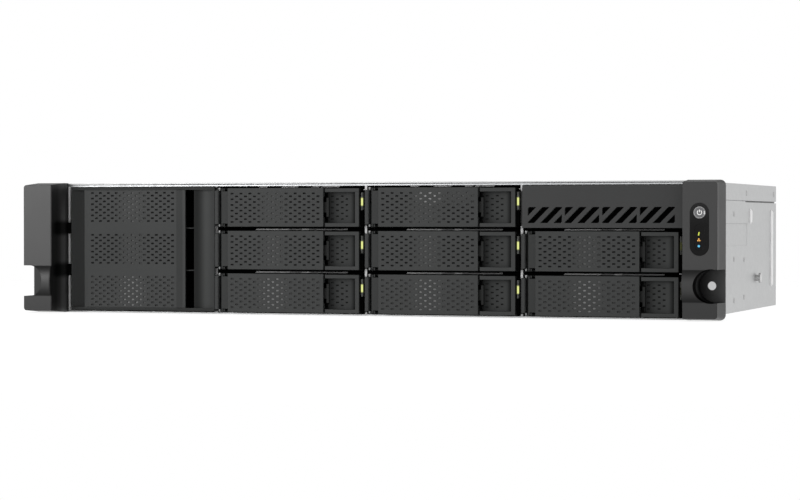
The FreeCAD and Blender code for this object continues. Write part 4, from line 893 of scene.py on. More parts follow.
# ------------------------------------------------------------------ mesh drafting
class Draft:
    """Collects closed shells, in millimetres, and turns them into one object."""

    def __init__(self) -> None:
        """Starts an empty draft."""
        self.bm = bmesh.new()
        self.weight = self.bm.edges.layers.float.new("bevel_weight_edge")

    def shell(self, points: Sequence[Point], faces: Sequence[Sequence[int]], soft: bool = True) -> None:
        """Adds one shell.

        Args:
            points: its corners.
            faces: corner numbers of each face, outward by the right hand.
            soft: whether its edges are rounded.
        """
        verts = [self._vert(point) for point in points]
        made = [self.bm.faces.new([verts[index] for index in face]) for face in faces]
        if soft:
            for edge in {edge for face in made for edge in face.edges}:
                edge[self.weight] = 1.0

    def _vert(self, point: Point) -> bmesh.types.BMVert:
        """Adds one corner."""
        return self.bm.verts.new(in_metres(point))

    def block(self, low: Point, high: Point, soft: bool = True) -> None:
        """Adds a block between two corners.

        Args:
            low: its lowest corner.
            high: its highest corner.
            soft: whether its edges are rounded.
        """
        (x0, y0, z0), (x1, y1, z1) = low, high
        points = [(x0, y0, z0), (x1, y0, z0), (x1, y1, z0), (x0, y1, z0),
                  (x0, y0, z1), (x1, y0, z1), (x1, y1, z1), (x0, y1, z1)]
        self.shell(points, [(0, 3, 2, 1), (4, 5, 6, 7), (0, 1, 5, 4), (1, 2, 6, 5), (2, 3, 7, 6),
                            (3, 0, 4, 7)], soft)

    def prism(self, outline: Sequence[Spot], low: float, high: float, place: Placer,
              soft: bool = True) -> None:
        """Adds a prism.

        Args:
            outline: its corners in the plane, anticlockwise seen from the high end.
            low: start along the third direction.
            high: end along the third direction.
            place: turns plane and third coordinates into a point.
            soft: whether its edges are rounded.
        """
        count = len(outline)
        points = [place(a, b, low) for a, b in outline] + [place(a, b, high) for a, b in outline]
        sides = [(k, (k + 1) % count, count + (k + 1) % count, count + k) for k in range(count)]
        self.shell(points, [tuple(reversed(range(count))), tuple(range(count, 2 * count))] + sides, soft)

    def upright(self, outline: Sequence[Spot], z0: float, z1: float, soft: bool = True) -> None:
        """Adds a prism that stands on an outline of (x, y) spots."""
        self.prism(outline, z0, z1, lambda a, b, c: (a, b, c), soft)

    def sideways(self, outline: Sequence[Spot], x0: float, x1: float, soft: bool = True) -> None:
        """Adds a prism across X over an outline of (y, z) spots."""
        self.prism(outline, x0, x1, lambda a, b, c: (c, a, b), soft)

    def facing(self, outline: Sequence[Spot], y_back: float, y_front: float, soft: bool = True) -> None:
        """Adds a prism that comes forward over an outline of (x, z) spots."""
        self.prism(outline, y_back, y_front, lambda a, b, c: (a, c, b), soft)

    def disc(self, centre: Point, radius: float, depth: float, along: str = "Y", sides: int = 24,
             soft: bool = True) -> None:
        """Adds a round bar from a point along one axis.

        Args:
            centre: middle of its first end.
            radius: its radius.
            depth: its length.
            along: Y or Z.
            sides: number of flats.
            soft: whether its rims are rounded.
        """
        ring = [(radius * math.cos(2 * math.pi * k / sides), radius * math.sin(2 * math.pi * k / sides))
                for k in range(sides)]
        cx, cy, cz = centre
        places: dict[str, Placer] = {
            "Y": lambda a, b, c: (cx + b, cy + c, cz + a),
            "Z": lambda a, b, c: (cx + a, cy + b, cz + c)}
        self.prism(ring, 0.0, depth, places[along], False)
        if soft:
            self.bm.edges.ensure_lookup_table()
            for edge in self.bm.edges[-3 * sides:]:
                if any(len(face.verts) == sides for face in edge.link_faces):
                    edge[self.weight] = 1.0

    def perforated(self, xs: Sequence[float], zs: Sequence[float], holes: set[tuple[int, int]], hole: Spot,
                   place: Placer, thickness: float) -> None:
        """Adds a sheet with a hole in some cells of a grid.

        Args:
            xs: grid lines along the first direction.
            zs: grid lines along the second direction.
            holes: the cells that are open.
            hole: width and height of each hole.
            place: turns grid coordinates and depth into a point.
            thickness: the sheet's thickness.
        """
        sides = []
        for depth in (0.0, thickness):
            grid = {(i, j): self._vert(place(x, z, depth))
                    for i, x in enumerate(xs) for j, z in enumerate(zs)}
            rims = {}
            for i, j in holes:
                cx, cz = (xs[i] + xs[i + 1]) / 2, (zs[j] + zs[j + 1]) / 2
                rims[i, j] = [self._vert(place(cx + a, cz + b, depth)) for a, b in self.rounded_slot(hole)]
            sides.append((grid, rims))
        for level, (grid, rims) in enumerate(sides):
            for i in range(len(xs) - 1):
                for j in range(len(zs) - 1):
                    corners = [grid[i, j], grid[i + 1, j], grid[i + 1, j + 1], grid[i, j + 1]]
                    if (i, j) in holes:
                        self._ring(corners, rims[i, j], level == 1)
                    else:
                        self._face(corners, level == 1)
        self._walls(sides[0], sides[1], len(xs), len(zs), holes)

    @staticmethod
    def rounded_slot(hole: Spot) -> list[Spot]:
        """Eight corners of a slot with its corners cut, from the lower right, anticlockwise.

        Args:
            hole: its width and height.

        Returns:
            The corners.
        """
        a, b = hole[0] / 2, hole[1] / 2
        c = min(a, b) * 0.6
        return [(a, c - b), (a, b - c), (a - c, b), (c - a, b),
                (-a, b - c), (-a, c - b), (c - a, -b), (a - c, -b)]

    def _face(self, verts: Sequence[bmesh.types.BMVert], flip: bool) -> bmesh.types.BMFace:
        """Adds a face, turned over where asked."""
        return self.bm.faces.new(list(reversed(verts)) if flip else list(verts))

    def _ring(self, corners: list[bmesh.types.BMVert], rim: list[bmesh.types.BMVert], flip: bool) -> None:
        """Fills a cell round its hole.

        Args:
            corners: the cell's corners.
            rim: the hole's corners.
            flip: whether the faces are turned over.
        """
        lower_left, lower_right, upper_right, upper_left = corners
        for quad in ((lower_right, upper_right, rim[1], rim[0]), (upper_right, upper_left, rim[3], rim[2]),
                     (upper_left, lower_left, rim[5], rim[4]), (lower_left, lower_right, rim[7], rim[6])):
            self._face(quad, flip)
        for tri in ((upper_right, rim[2], rim[1]), (upper_left, rim[4], rim[3]),
                    (lower_left, rim[6], rim[5]), (lower_right, rim[0], rim[7])):
            self._face(tri, flip)

    def _walls(self, front: tuple[dict, dict], back: tuple[dict, dict], columns: int, rows: int,
               holes: set[tuple[int, int]]) -> None:
        """Joins the two sides of a perforated sheet round its rim and through its holes.

        Args:
            front: the front's grid and rims.
            back: the back's grid and rims.
            columns: number of grid lines along the first direction.
            rows: number of grid lines along the second direction.
            holes: the cells that are open.
        """
        lower = [(i, 0) for i in range(columns)]
        right = [(columns - 1, j) for j in range(1, rows)]
        upper = [(i, rows - 1) for i in range(columns - 2, -1, -1)]
        left = [(0, j) for j in range(rows - 2, 0, -1)]
        loop = lower + right + upper + left
        for here, there in zip(loop, loop[1:] + loop[:1]):
            face = self.bm.faces.new([front[0][there], front[0][here], back[0][here], back[0][there]])
            rims = [{side[0][here], side[0][there]} for side in (front, back)]
            for edge in face.edges:
                if set(edge.verts) in rims:
                    edge[self.weight] = 1.0
        for key in holes:
            near, far = front[1][key], back[1][key]
            for k in range(len(near)):
                m = (k + 1) % len(near)
                self.bm.faces.new([near[k], near[m], far[m], far[k]])

    def finish(self, name: str, finish: Finish, body: str = "enclosure", origin: Optional[Point] = None,
               soften: float = 0.0, replaces: Sequence[str] = ()) -> None:
        """Turns the draft into an object that rides on a body.

        Args:
            name: the object's name.
            finish: its finish.
            body: the body that it moves with.
            origin: where its own zero lies, in millimetres, if not on the ears' front plane.
            soften: radius of its rounded edges in millimetres, or 0.
            replaces: the solids that it stands for.
        """
        bmesh.ops.recalc_face_normals(self.bm, faces=self.bm.faces[:])
        for face in self.bm.faces:
            face.smooth = True
        mesh = bpy.data.meshes.new(name)
        self.bm.to_mesh(mesh)
        self.bm.free()
        mesh.set_sharp_from_angle(angle=math.radians(SHARP_ANGLE))
        mesh.materials.append(finish.material())
        made = new_object(name, mesh, in_metres(origin or SITE.point(0.0, 0.0, 0.0)))
        if soften:
            bevel = made.modifiers.new("soften", "BEVEL")
            bevel.limit_method = "WEIGHT"
            bevel.width = soften * MM
            bevel.segments = 2
            bevel.harden_normals = True
            bevel.use_clamp_overlap = True
        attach(made, body)
        if replaces:
            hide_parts(*replaces)


def cell_lines(first: float, last: float, count: int, low: float, high: float) -> list[float]:
    """Grid lines round evenly spaced cell middles, with a border line at each end.

    Args:
        first: middle of the first cell.
        last: middle of the last cell.
        count: number of cells.
        low: the sheet's lower border.
        high: the sheet's upper border.

    Returns:
        The grid lines.
    """
    pitch = (last - first) / (count - 1)
    return [low] + even(first - pitch / 2, last + pitch / 2, count + 1) + [high]


def upright_at(y: float) -> Placer:
    """Turns grid coordinates and a depth into a point of an upright sheet."""
    return lambda x, z, depth: (x, y + depth, z)


def staggered(columns: int, rows: int, first_row: int = 1) -> set[tuple[int, int]]:
    """Every second cell of a grid, counted past its border column and from its first row."""
    return {(i + 1, first_row + j) for i in range(columns) for j in range(rows) if (i + j) % 2 == 0}


# ------------------------------------------------------------------ drive trays
@dataclass(frozen=True)
class TrayLook:
    """How one tray differs from the others.

    Attributes:
        glow: the painted light that shows through its air holes.
        glow_x: middle of that glow, from the left divider's middle.
        lit: brightness of its light guide.
    """

    glow: Glow
    glow_x: float = 44.6
    lit: float = 1.0


TRAY_LOOKS = {1: TrayLook(Glow.FAINT, 43.0), 2: TrayLook(Glow.MIDDLE, 43.0), 3: TrayLook(Glow.FULL, 43.0),
              4: TrayLook(Glow.HIGH), 5: TrayLook(Glow.MIDDLE), 6: TrayLook(Glow.FULL),
              7: TrayLook(Glow.MIDDLE, lit=0.04), 8: TrayLook(Glow.FULL, lit=0.0)}


@dataclass
class DriveTray:
    """One drive tray: front moulding and cradle, lever and light guide.

    Sizes are in millimetres from the left divider's middle, the ears' front plane and the tray's underside.
    A pair is where something starts and ends across, unless its name says otherwise.
    """

    number: int
    look: TrayLook
    face_y: float = 17.5
    height: float = 25.8
    rim: Spot = (1.3, 3.6)
    rim_inset: float = 1.6
    back_y: float = 26.2
    wall: float = 1.2
    hinge: Spot = (5.9, 20.2)
    pin: Spot = (4.2, 19.0)
    barrel_radius: float = 1.0
    lug_right: float = 8.0
    lug_height: float = 1.7
    plate: Spot = (10.6, 79.1)
    plate_columns: Cells = (13.9, 75.4, 20)
    plate_rows: Cells = (3.15, 22.15, 11)
    screen: Spot = (12.0, 77.0)
    skin: float = 0.55
    plate_back_y: float = 20.9
    notch_z: Spot = (6.3, 19.5)
    grip_width: float = 2.6
    latch_guide: Spot = (67.4, 73.5)
    guide_z: Spot = (8.0, 17.8)
    guide_wall: float = 1.1
    pocket: Spot = (80.3, 104.6)
    pocket_right: float = 101.4
    border: float = 2.5
    frame_drop: float = 0.4
    floor_columns: Cells = (84.3, 94.1, 4)
    floor_rows: Cells = (5.05, 20.25, 9)
    floor_skin: float = 0.5
    floor_left: Spot = (82.5, 20.3)
    floor_right_y: float = 19.6
    floor_sag: float = 2.4
    sled: Spot = (2.1, 105.7)
    sled_back: float = 174.0
    sled_drop: float = 0.4
    sled_bar: float = 14.0
    sled_middle: Spot = (91.5, 107.5)
    sled_skin: float = 0.9
    lever_hole: Spot = (2.15, 1.05)
    floor_hole: Spot = (1.9, 0.9)
    lens: Spot = (103.9, 105.7)
    lens_z: Spot = (11.0, 22.6)
    lens_front: float = 20.7

    def node(self, piece: str) -> str:
        """Name of one of the tray's solids."""
        return f"tray_{self.number}_{piece}"

    def origin(self) -> Point:
        """The tray's own zero in the solids' frame, in millimetres."""
        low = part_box(self.node("carrier"))[0]
        return (low.x / MM - self.sled[0], SITE.shift(), low.z / MM + self.sled_drop)

    def build(self) -> None:
        """Makes every piece of the tray."""
        self._lever()
        self._screen()
        self._carrier()
        self._pocket_floor()
        self._pocket_shade()
        self._hinge_pin()
        self._light_guide()
        LOG.info("tray %d built", self.number)

    def _add(self, draft: Draft, piece: str, finish: Finish, soften: float = 0.0, stands_for: str = "",
             body: str = "") -> None:
        """Finishes one piece of the tray.

        Args:
            draft: its shells.
            piece: its name within the tray.
            finish: its finish.
            soften: radius of its rounded edges, or 0.
            stands_for: the tray's solid that it replaces, if any.
            body: the tray's own body that it rides on, if not the tray.
        """
        rides_on = self.node(body) if body else f"tray_{self.number}"
        replaced = [self.node(stands_for)] if stands_for else ()
        draft.finish(self.node(piece), finish, rides_on, self.origin(), soften, replaced)

    def _lever(self) -> None:
        """The perforated lever with its grip lip, stepped strip, barrel and latch guide."""
        draft = Draft()
        xs = cell_lines(*self.plate_columns, *self.plate)
        zs = cell_lines(*self.plate_rows, 0.0, self.height)
        holes = staggered(self.plate_columns[-1], self.plate_rows[-1])
        draft.perforated(xs, zs, holes, self.lever_hole, upright_at(self.face_y), self.skin)
        back, (left, right) = self.face_y + self.skin - 0.1, self.plate
        for z in (0.0, self.height - self.wall):
            draft.block((left + 0.05, back, z + 0.02),
                        (right - 0.05, self.plate_back_y, z + self.wall - 0.02))
        for z0, z1 in ((0.0, self.notch_z[0]), (self.notch_z[1], self.height)):
            draft.block((right - self.grip_width, back, z0 + 0.05), (right - 0.02, 21.0, z1 - 0.05))
        self._barrel(draft, left, back)
        self._latch_seat(draft, back)
        self._add(draft, "front_lever", PALETTE.lever, 0.22, "lever", "lever_body")

    def _barrel(self, draft: Draft, left: float, back: float) -> None:
        """The stepped strip at the lever's left end, and the barrel that it swings about.

        Args:
            draft: the draft to add to.
            left: the lever's left end.
            back: the back of the lever's skin.
        """
        low, high = self.lug_height + 0.3, self.height - self.lug_height - 0.3
        draft.block((left + 0.05, back, low), (left + 1.2, 19.9, high))
        x, y = self.hinge
        draft.upright([(x, 19.9), (x, 19.0), (x - 0.2, 18.5), (x + 0.1, 18.1), (left + 0.1, 18.1),
                       (left + 0.1, 18.7), (left + 1.2, 18.7), (left + 1.2, 19.9)], low, high)
        draft.disc((x, y, 0.4), self.barrel_radius, self.height - 0.8, "Z", 20)

    def _latch_seat(self, draft: Draft, back: float) -> None:
        """The open box behind the lever's right end, in which the latch slides.

        Args:
            draft: the draft to add to.
            back: the back of the lever's skin.
        """
        (x0, x1), (low, high), front, rear = self.latch_guide, self.guide_z, self.face_y + 0.9, 22.7
        draft.block((x0 - 0.9, back, low), (x0 + 0.2, rear, high))
        for z0, z1 in ((low, low + self.guide_wall), (high - self.guide_wall, high)):
            draft.block((x0, front, z0), (x1, rear, z1))
        draft.block((x0, rear - self.guide_wall, low + 1.0), (x1, rear, high - 1.0))

    def _screen(self) -> None:
        """The thin screen behind the lever's air holes, which carries painted shade and painted light."""
        draft = Draft()
        (x0, x1), front = self.screen, self.face_y + self.skin
        draft.block((x0, front + 0.02, 1.6), (x1, front + 0.30, 24.2), False)
        finish = AirScreen(f"lever_screen_{self.number}", "lever_plastic", self.look.glow, self.look.glow_x)
        self._add(draft, "painted_light_screen", finish, body="lever_body")

    def _carrier(self) -> None:
        """Front moulding and cradle, which stand for the carrier's solid."""
        draft = Draft()
        low, high = self.rim_inset, self.height - self.rim_inset
        draft.block((self.rim[0], self.face_y, low), (self.rim[1], self.back_y, high))
        inner = self.back_y - self.wall
        self._hinge_lugs(draft)
        self._cross_wall(draft, inner)
        for z in (0.0, self.height - self.wall):
            draft.block((self.lug_right, 21.2, z), (self.pocket[0], inner + 0.1, z + self.wall))
        self._pocket_frame(draft)
        self._side_flange(draft)
        self._cradle(draft)
        # painted shade behind the front and on the right side, painted light in the groove by the hinge
        finish = Moulding("carrier_grain", "bezel_plastic", (0.027, 0.0285, 0.028), (0.036, 0.037, 0.036),
                          roughness=0.55, specular=0.35, edge_radius=0.0003,
                          pools=(  # behind the front, the groove by the hinge, the right side
                              Pool((53.5, 40.0, 13.0), (60.0, 21.6, 30.0), (0.1, 1.2, 0.1), 0.36),
                              Pool((4.2, 23.0, 13.0), (1.4, 5.0, 30.0), (0.3, 0.3, 0.1), 4.5),
                              Pool((106.0, 22.0, 13.0), (2.0, 8.0, 30.0), (0.2, 0.1, 0.1), 0.20)))
        self._add(draft, "front_and_cradle", finish, 0.22, "carrier")

    def _hinge_pin(self) -> None:
        """The bright head of the hinge pin, let into the upper lug."""
        draft = Draft()
        draft.disc((*self.pin, self.height - 0.9), 0.75, 1.15, "Z", 16)
        self._add(draft, "hinge_pin", PALETTE.pin, 0.15)

    def _pocket_shade(self) -> None:
        """A dark sheet behind the pocket's air holes: painted shade seen through them."""
        front = [(x, self._floor_y(x) + 0.6) for x in even(83.2, self.pocket_right - 0.1, 9)]
        back = [(x, y + 0.25) for x, y in reversed(front)]
        draft = Draft()
        draft.upright(front + back, 2.6, self.height - 3.0)
        self._add(draft, "pocket_shade", PALETTE.pocket_shade_sheet)

    def _hinge_lugs(self, draft: Draft) -> None:
        """Two lugs with open-fronted seats round the barrel's ends.

        Args:
            draft: the draft to add to.
        """
        x, y = self.hinge
        reach, left, front = self.barrel_radius + 0.2, 3.5, 18.75
        outline = [(left, front), (x - reach, front), (x - reach, y + reach / 2), (x - reach / 2, y + reach),
                   (x + reach / 2, y + reach), (x + reach, y + reach / 2), (x + reach, front),
                   (self.lug_right, front), (self.lug_right, self.back_y), (left, self.back_y)]
        for z in (0.0, self.height - self.lug_height):
            draft.upright(outline, z, z + self.lug_height)

    def _cross_wall(self, draft: Draft, inner: float) -> None:
        """The wall behind the lever with its two windows.

        Args:
            draft: the draft to add to.
            inner: its front face.
        """
        span = (self.pocket[0] - self.lug_right) / 2
        for z0, z1 in ((0.0, 3.7), (22.1, self.height)):
            draft.block((self.rim[1] - 0.2, inner, z0), (self.pocket[0] + 0.1, self.back_y, z1))
        for x0, x1, front in ((self.rim[1] - 0.2, self.lug_right + 2.0, inner),
                              (self.lug_right + span - 2.0, self.lug_right + span + 2.0, inner),
                              (self.pocket[0] - 2.0, self.pocket[0] + 0.1, self.back_y - 0.45)):
            draft.block((x0, front + 0.01, 3.6), (x1, self.back_y - 0.01, 22.2))

    def _pocket_frame(self, draft: Draft) -> None:
        """The bordered frame of the finger pocket with its two side notches.

        Args:
            draft: the draft to add to.
        """
        left, right = self.pocket
        top = self.height - self.frame_drop
        draft.block((left, self.face_y, 0.0), (right, self.back_y, self.border))
        draft.block((left, self.face_y, top - self.border), (right, self.back_y, top))
        draft.block((self.pocket_right, self.face_y + 0.01, 0.1),
                    (right - 0.01, self.back_y - 0.01, top - 0.1))
        for z0, z1 in ((2.4, 6.1), (19.7, top - 2.4)):
            draft.block((left + 0.6, self.face_y + 4.2, z0), (left + 1.7, self.back_y - 0.1, z1))

    def _side_flange(self, draft: Draft) -> None:
        """The flange beside the pocket, in two arms round the light guide."""
        for z0, z1 in ((1.0, self.lens_z[0] - 0.05), (self.lens_z[1] + 0.05, 24.4)):
            draft.block((104.5, 21.2, z0), (105.8, self.back_y, z1))

    def _cradle(self, draft: Draft) -> None:
        """The open cradle behind the front.

        Args:
            draft: the draft to add to.
        """
        x0, x1 = self.sled
        bottom, front, back = -self.sled_drop, self.back_y, self.sled_back
        for a0, a1 in ((x0, x0 + self.sled_bar), (x1 - self.sled_bar, x1)):
            draft.block((a0, front, bottom), (a1, back, bottom + self.sled_skin))
        inner = self.sled_bar - 0.1
        for b0, b1 in ((front, front + self.sled_bar), self.sled_middle, (back - self.sled_bar, back)):
            draft.block((x0 + inner, b0, bottom), (x1 - inner, b1, bottom + self.sled_skin))
        side = [(front, bottom), (back, bottom), (back, 7.0), (back - 16.0, 14.0), (front + 16.0, 14.0),
                (front, 24.4)]
        for a in (x0, x1 - self.sled_skin):
            draft.sideways(side, a, a + self.sled_skin)

    def _floor_y(self, x: float) -> float:
        """The depth of the pocket's curved floor at a place across it.

        Args:
            x: the place, from the left divider's middle.

        Returns:
            The depth.
        """
        share = (x - self.floor_left[0]) / (self.pocket_right - self.floor_left[0])
        chord = self.floor_left[1] + (self.floor_right_y - self.floor_left[1]) * share
        return chord + 4 * self.floor_sag * share * (1 - share)

    def _pocket_floor(self) -> None:
        """The curved, perforated floor of the finger pocket."""
        x0, x1 = self.floor_left[0], self.pocket_right
        middles = even(*self.floor_columns)
        half = (middles[1] - middles[0]) / 2
        xs = [x0, middles[0] - half] + [middle + half for middle in middles] + [97.6, 99.0, 100.3, x1 + 0.1]
        top = self.height - self.frame_drop - self.border + 0.1
        zs = cell_lines(*self.floor_rows, self.border - 0.1, top)
        draft = Draft()
        draft.perforated(xs, zs, staggered(self.floor_columns[-1], self.floor_rows[-1]), self.floor_hole,
                         lambda x, z, depth: (x, self._floor_y(x) + depth, z), self.floor_skin)
        # painted shade at both ends of the pocket's curved floor
        finish = Moulding("pocket_grain", "bezel_plastic", (0.027, 0.0285, 0.028), (0.027, 0.0285, 0.028),
                          roughness=0.6, specular=0.3, edge_radius=0.0002,
                          pools=(  # its left end and its right end
                              Pool((81.0, 22.0, 13.0), (8.0, 9.0, 30.0), (7.0, 0.1, 0.1), 0.35),
                              Pool((103.0, 22.0, 13.0), (6.5, 9.0, 30.0), (4.5, 0.1, 0.1), 0.22)))
        self._add(draft, "pocket_floor", finish)

    def _light_guide(self) -> None:
        """The milky upright guide whose middle is lit."""
        (x0, x1), (z0, z1), front = self.lens, self.lens_z, self.lens_front
        draft = Draft()
        draft.upright([(x0 + 0.5, front), (x1 - 0.5, front), (x1, front + 0.5), (x1, self.back_y),
                       (x0, self.back_y), (x0, front + 0.5)], z0, z1)
        lit = self.look.lit
        finish = Lamp(f"tray_light_{round(100 * lit)}", "light_guide", low_z=14.0, high_z=19.0, fade=0.6,
                      milky=(0.20, 0.205, 0.19), strength=lit, front_y=front + 0.7)
        self._add(draft, "light_guide", finish, 0.2, "light_pipe")


# ------------------------------------------------------------------ intake cover
@dataclass
class IntakeCover:
    """Clip-on cover over the first column: recess, perforated face, grip slot and scoop."""

    left: float = -212.4
    right: float = -105.9
    end_depth: float = 1.4
    low: float = 1.85
    high: float = 85.6
    face_y: float = 17.5
    back_y: float = 23.2
    skin: float = 0.6
    wall: float = 2.0
    border: float = 2.0
    recess: Spot = (-211.5, -202.5)
    recess_depths: Spot = (18.2, 21.0)
    recess_sag: float = 0.8
    scoop_depths: Spot = (18.8, 18.0)
    scoop_sag: float = 2.1
    strip_left: float = -133.0
    slot: Spot = (-127.3, -121.4)
    hole: Spot = (2.15, 1.1)
    columns: Cells = (-196.3, -136.6, 21)
    rows: Cells = (3.8, 22.9, 11)
    half_row: float = 0.97
    screen: Spot = (-199.0, -134.2)
    screen_z: Spot = (2.0, 24.6)
    glow_x: float = -167.0
    rib_heights: tuple[float, ...] = (29.25, 57.8)
    rib_half: float = 0.45
    clip_half: float = 3.9
    clip_lefts: Spot = (-215.875, -109.075)
    clip_skin: float = 1.0
    clip_y: Spot = (21.4, 31.0)

    def build(self) -> None:
        """Makes the cover and the screens behind its holes."""
        draft = Draft()
        self._face(draft)
        self._borders(draft)
        self._recess(draft)
        self._grip(draft)
        self._clips(draft)
        draft.finish("intake_cover_shell", self._finish(), "front_cover", None, 0.25, ["intake_cover"])
        self._screens()
        LOG.info("intake cover built")

    def _finish(self) -> Finish:
        """The cover's plastic, with painted shade in its recess and its deep side, along its borders, in the
        finger scoop, on the clips' side and on the plain strip.

        Returns:
            The finish.
        """
        middle_z = (self.low + self.high) / 2
        # painted shade: the recess and its deep side, the scoop, the clips' side, the plain strip
        pools = [Pool((-205.5, 21.0, middle_z), (6.6, 3.4, 41.0), (1.0, 0.5, 1.0), 0.60),
                 Pool((-201.0, 21.0, middle_z), (2.6, 3.4, 41.0), (2.0, 0.3, 1.0), 0.30),
                 Pool((-120.2, 21.0, middle_z), (7.0, 3.4, 41.0), (6.6, 0.5, 1.0), 0.44),
                 Pool((-214.5, 26.0, middle_z), (3.6, 6.0, 41.0), (0.6, 0.5, 0.5), 0.08),
                 Pool((-131.6, 20.0, middle_z), (2.6, 4.0, 41.0), (0.6, 0.5, 1.0), 0.78)]
        # painted shade along the upper and lower borders
        pools += [Pool((-159.0, 20.0, z), (60.0, 5.0, 2.0), (0.5, 0.5, 0.6), 0.62)
                  for z in (self.low, self.high)]
        return Moulding("cover_grain", "bezel_plastic", (0.029, 0.0305, 0.030), (0.036, 0.037, 0.036),
                        roughness=0.55, specular=0.35, pools=tuple(pools))

    def _face(self, draft: Draft) -> None:
        """The perforated plate in three fields, and the plain strip beside it.

        Args:
            draft: the draft to add to.
        """
        low, high = self.low + self.border, self.high - self.border
        xs = cell_lines(*self.columns, self.recess[1], self.slot[0])
        zs = [low]
        holes: set[tuple[int, int]] = set()
        for floor in ROW_FLOORS:
            first, last, count = self.rows
            holes |= staggered(self.columns[-1], count, len(zs))
            zs += even(floor + first - self.half_row, floor + last + self.half_row, count + 1)
        zs.append(high)
        draft.perforated(xs, zs, holes, self.hole, upright_at(self.face_y), self.skin)
        draft.block((self.strip_left, self.face_y + self.skin - 0.1, low - 0.2),
                    (self.slot[0] - 0.05, self.face_y + 1.6, high + 0.2))

    def _borders(self, draft: Draft) -> None:
        """Upper and lower borders and the end walls.

        Args:
            draft: the draft to add to.
        """
        for z0, z1 in ((self.low, self.low + self.border), (self.high - self.border, self.high)):
            draft.block((self.left, self.face_y, z0), (self.right, self.back_y, z1))
        draft.block((self.left, self.face_y + 0.02, self.low + 0.1),
                    (self.recess[0], self.back_y - 0.02, self.high - 0.1))

    def _recess(self, draft: Draft) -> None:
        """The shallow curved recess along the left side.

        Args:
            draft: the draft to add to.
        """
        self._curved(draft, self.recess, self.recess_depths, self.recess_sag, self.back_y - 0.05)
        draft.block((self.recess[1], self.face_y + 0.03, self.low + 0.3),
                    (self.recess[1] + self.wall, self.back_y - 0.03, self.high - 0.3))

    def _curved(self, draft: Draft, span: Spot, depths: Spot, sag: float, right_back: float) -> None:
        """A solid strip whose front follows a sagging arc.

        Args:
            draft: the draft to add to.
            span: left and right ends.
            depths: the front's place at each end.
            sag: how far its middle dips back.
            right_back: how deep its right end reaches.
        """
        low, high = self.low + self.border - 0.1, self.high - self.border + 0.1
        front = []
        for share in even(0.0, 1.0, 13):
            x = span[0] + (span[1] - span[0]) * share
            front.append((x, depths[0] + (depths[1] - depths[0]) * share + 4 * sag * share * (1 - share)))
        draft.upright(front + [(span[1], right_back), (span[0], self.back_y - 0.05)], low, high, False)

    def _grip(self, draft: Draft) -> None:
        """The through slot's ribs and the scoop on its right.

        Args:
            draft: the draft to add to.
        """
        for z in self.rib_heights:
            draft.block((self.slot[0] - 1.5, 20.5, z - self.rib_half),
                        (self.slot[1] + 0.1, self.back_y - 0.05, z + self.rib_half))
        end_y = self.face_y + self.end_depth
        span = (self.slot[1], self.right - 0.4)
        self._curved(draft, span, self.scoop_depths, self.scoop_sag, end_y)
        draft.block((self.right - 0.5, self.face_y + 0.02, self.low + 0.1),
                    (self.right, end_y, self.high - 0.1))

    def _clips(self, draft: Draft) -> None:
        """Snap legs beside the dividers, and their outer ledges.

        Args:
            draft: the draft to add to.
        """
        for z in self.rib_heights:
            z0, z1 = z - self.clip_half, z + self.clip_half
            draft.block((-216.9, 21.2, z0), (self.left + 1.0, self.back_y, z1))
            for x in self.clip_lefts:
                draft.block((x, self.clip_y[0], z0 + 0.05),
                            (x + self.clip_skin, self.clip_y[1], z1 - 0.05))

    def _screens(self) -> None:
        """One screen behind each perforated field, which carries painted shade and painted light."""
        glows = (Glow.COVER_LOW, Glow.FAINT, Glow.COVER_HIGH)
        front, (x0, x1), (z0, z1) = self.face_y + self.skin, self.screen, self.screen_z
        for number, (floor, glow) in enumerate(zip(ROW_FLOORS, glows), 1):
            draft = Draft()
            draft.block((x0, front + 0.02, floor + z0), (x1, front + 0.30, floor + z1), False)
            finish = AirScreen(f"cover_screen_{number}", "bezel_plastic", glow, self.glow_x, floor)
            draft.finish(f"cover_air_screen_{number}", finish, "front_cover")


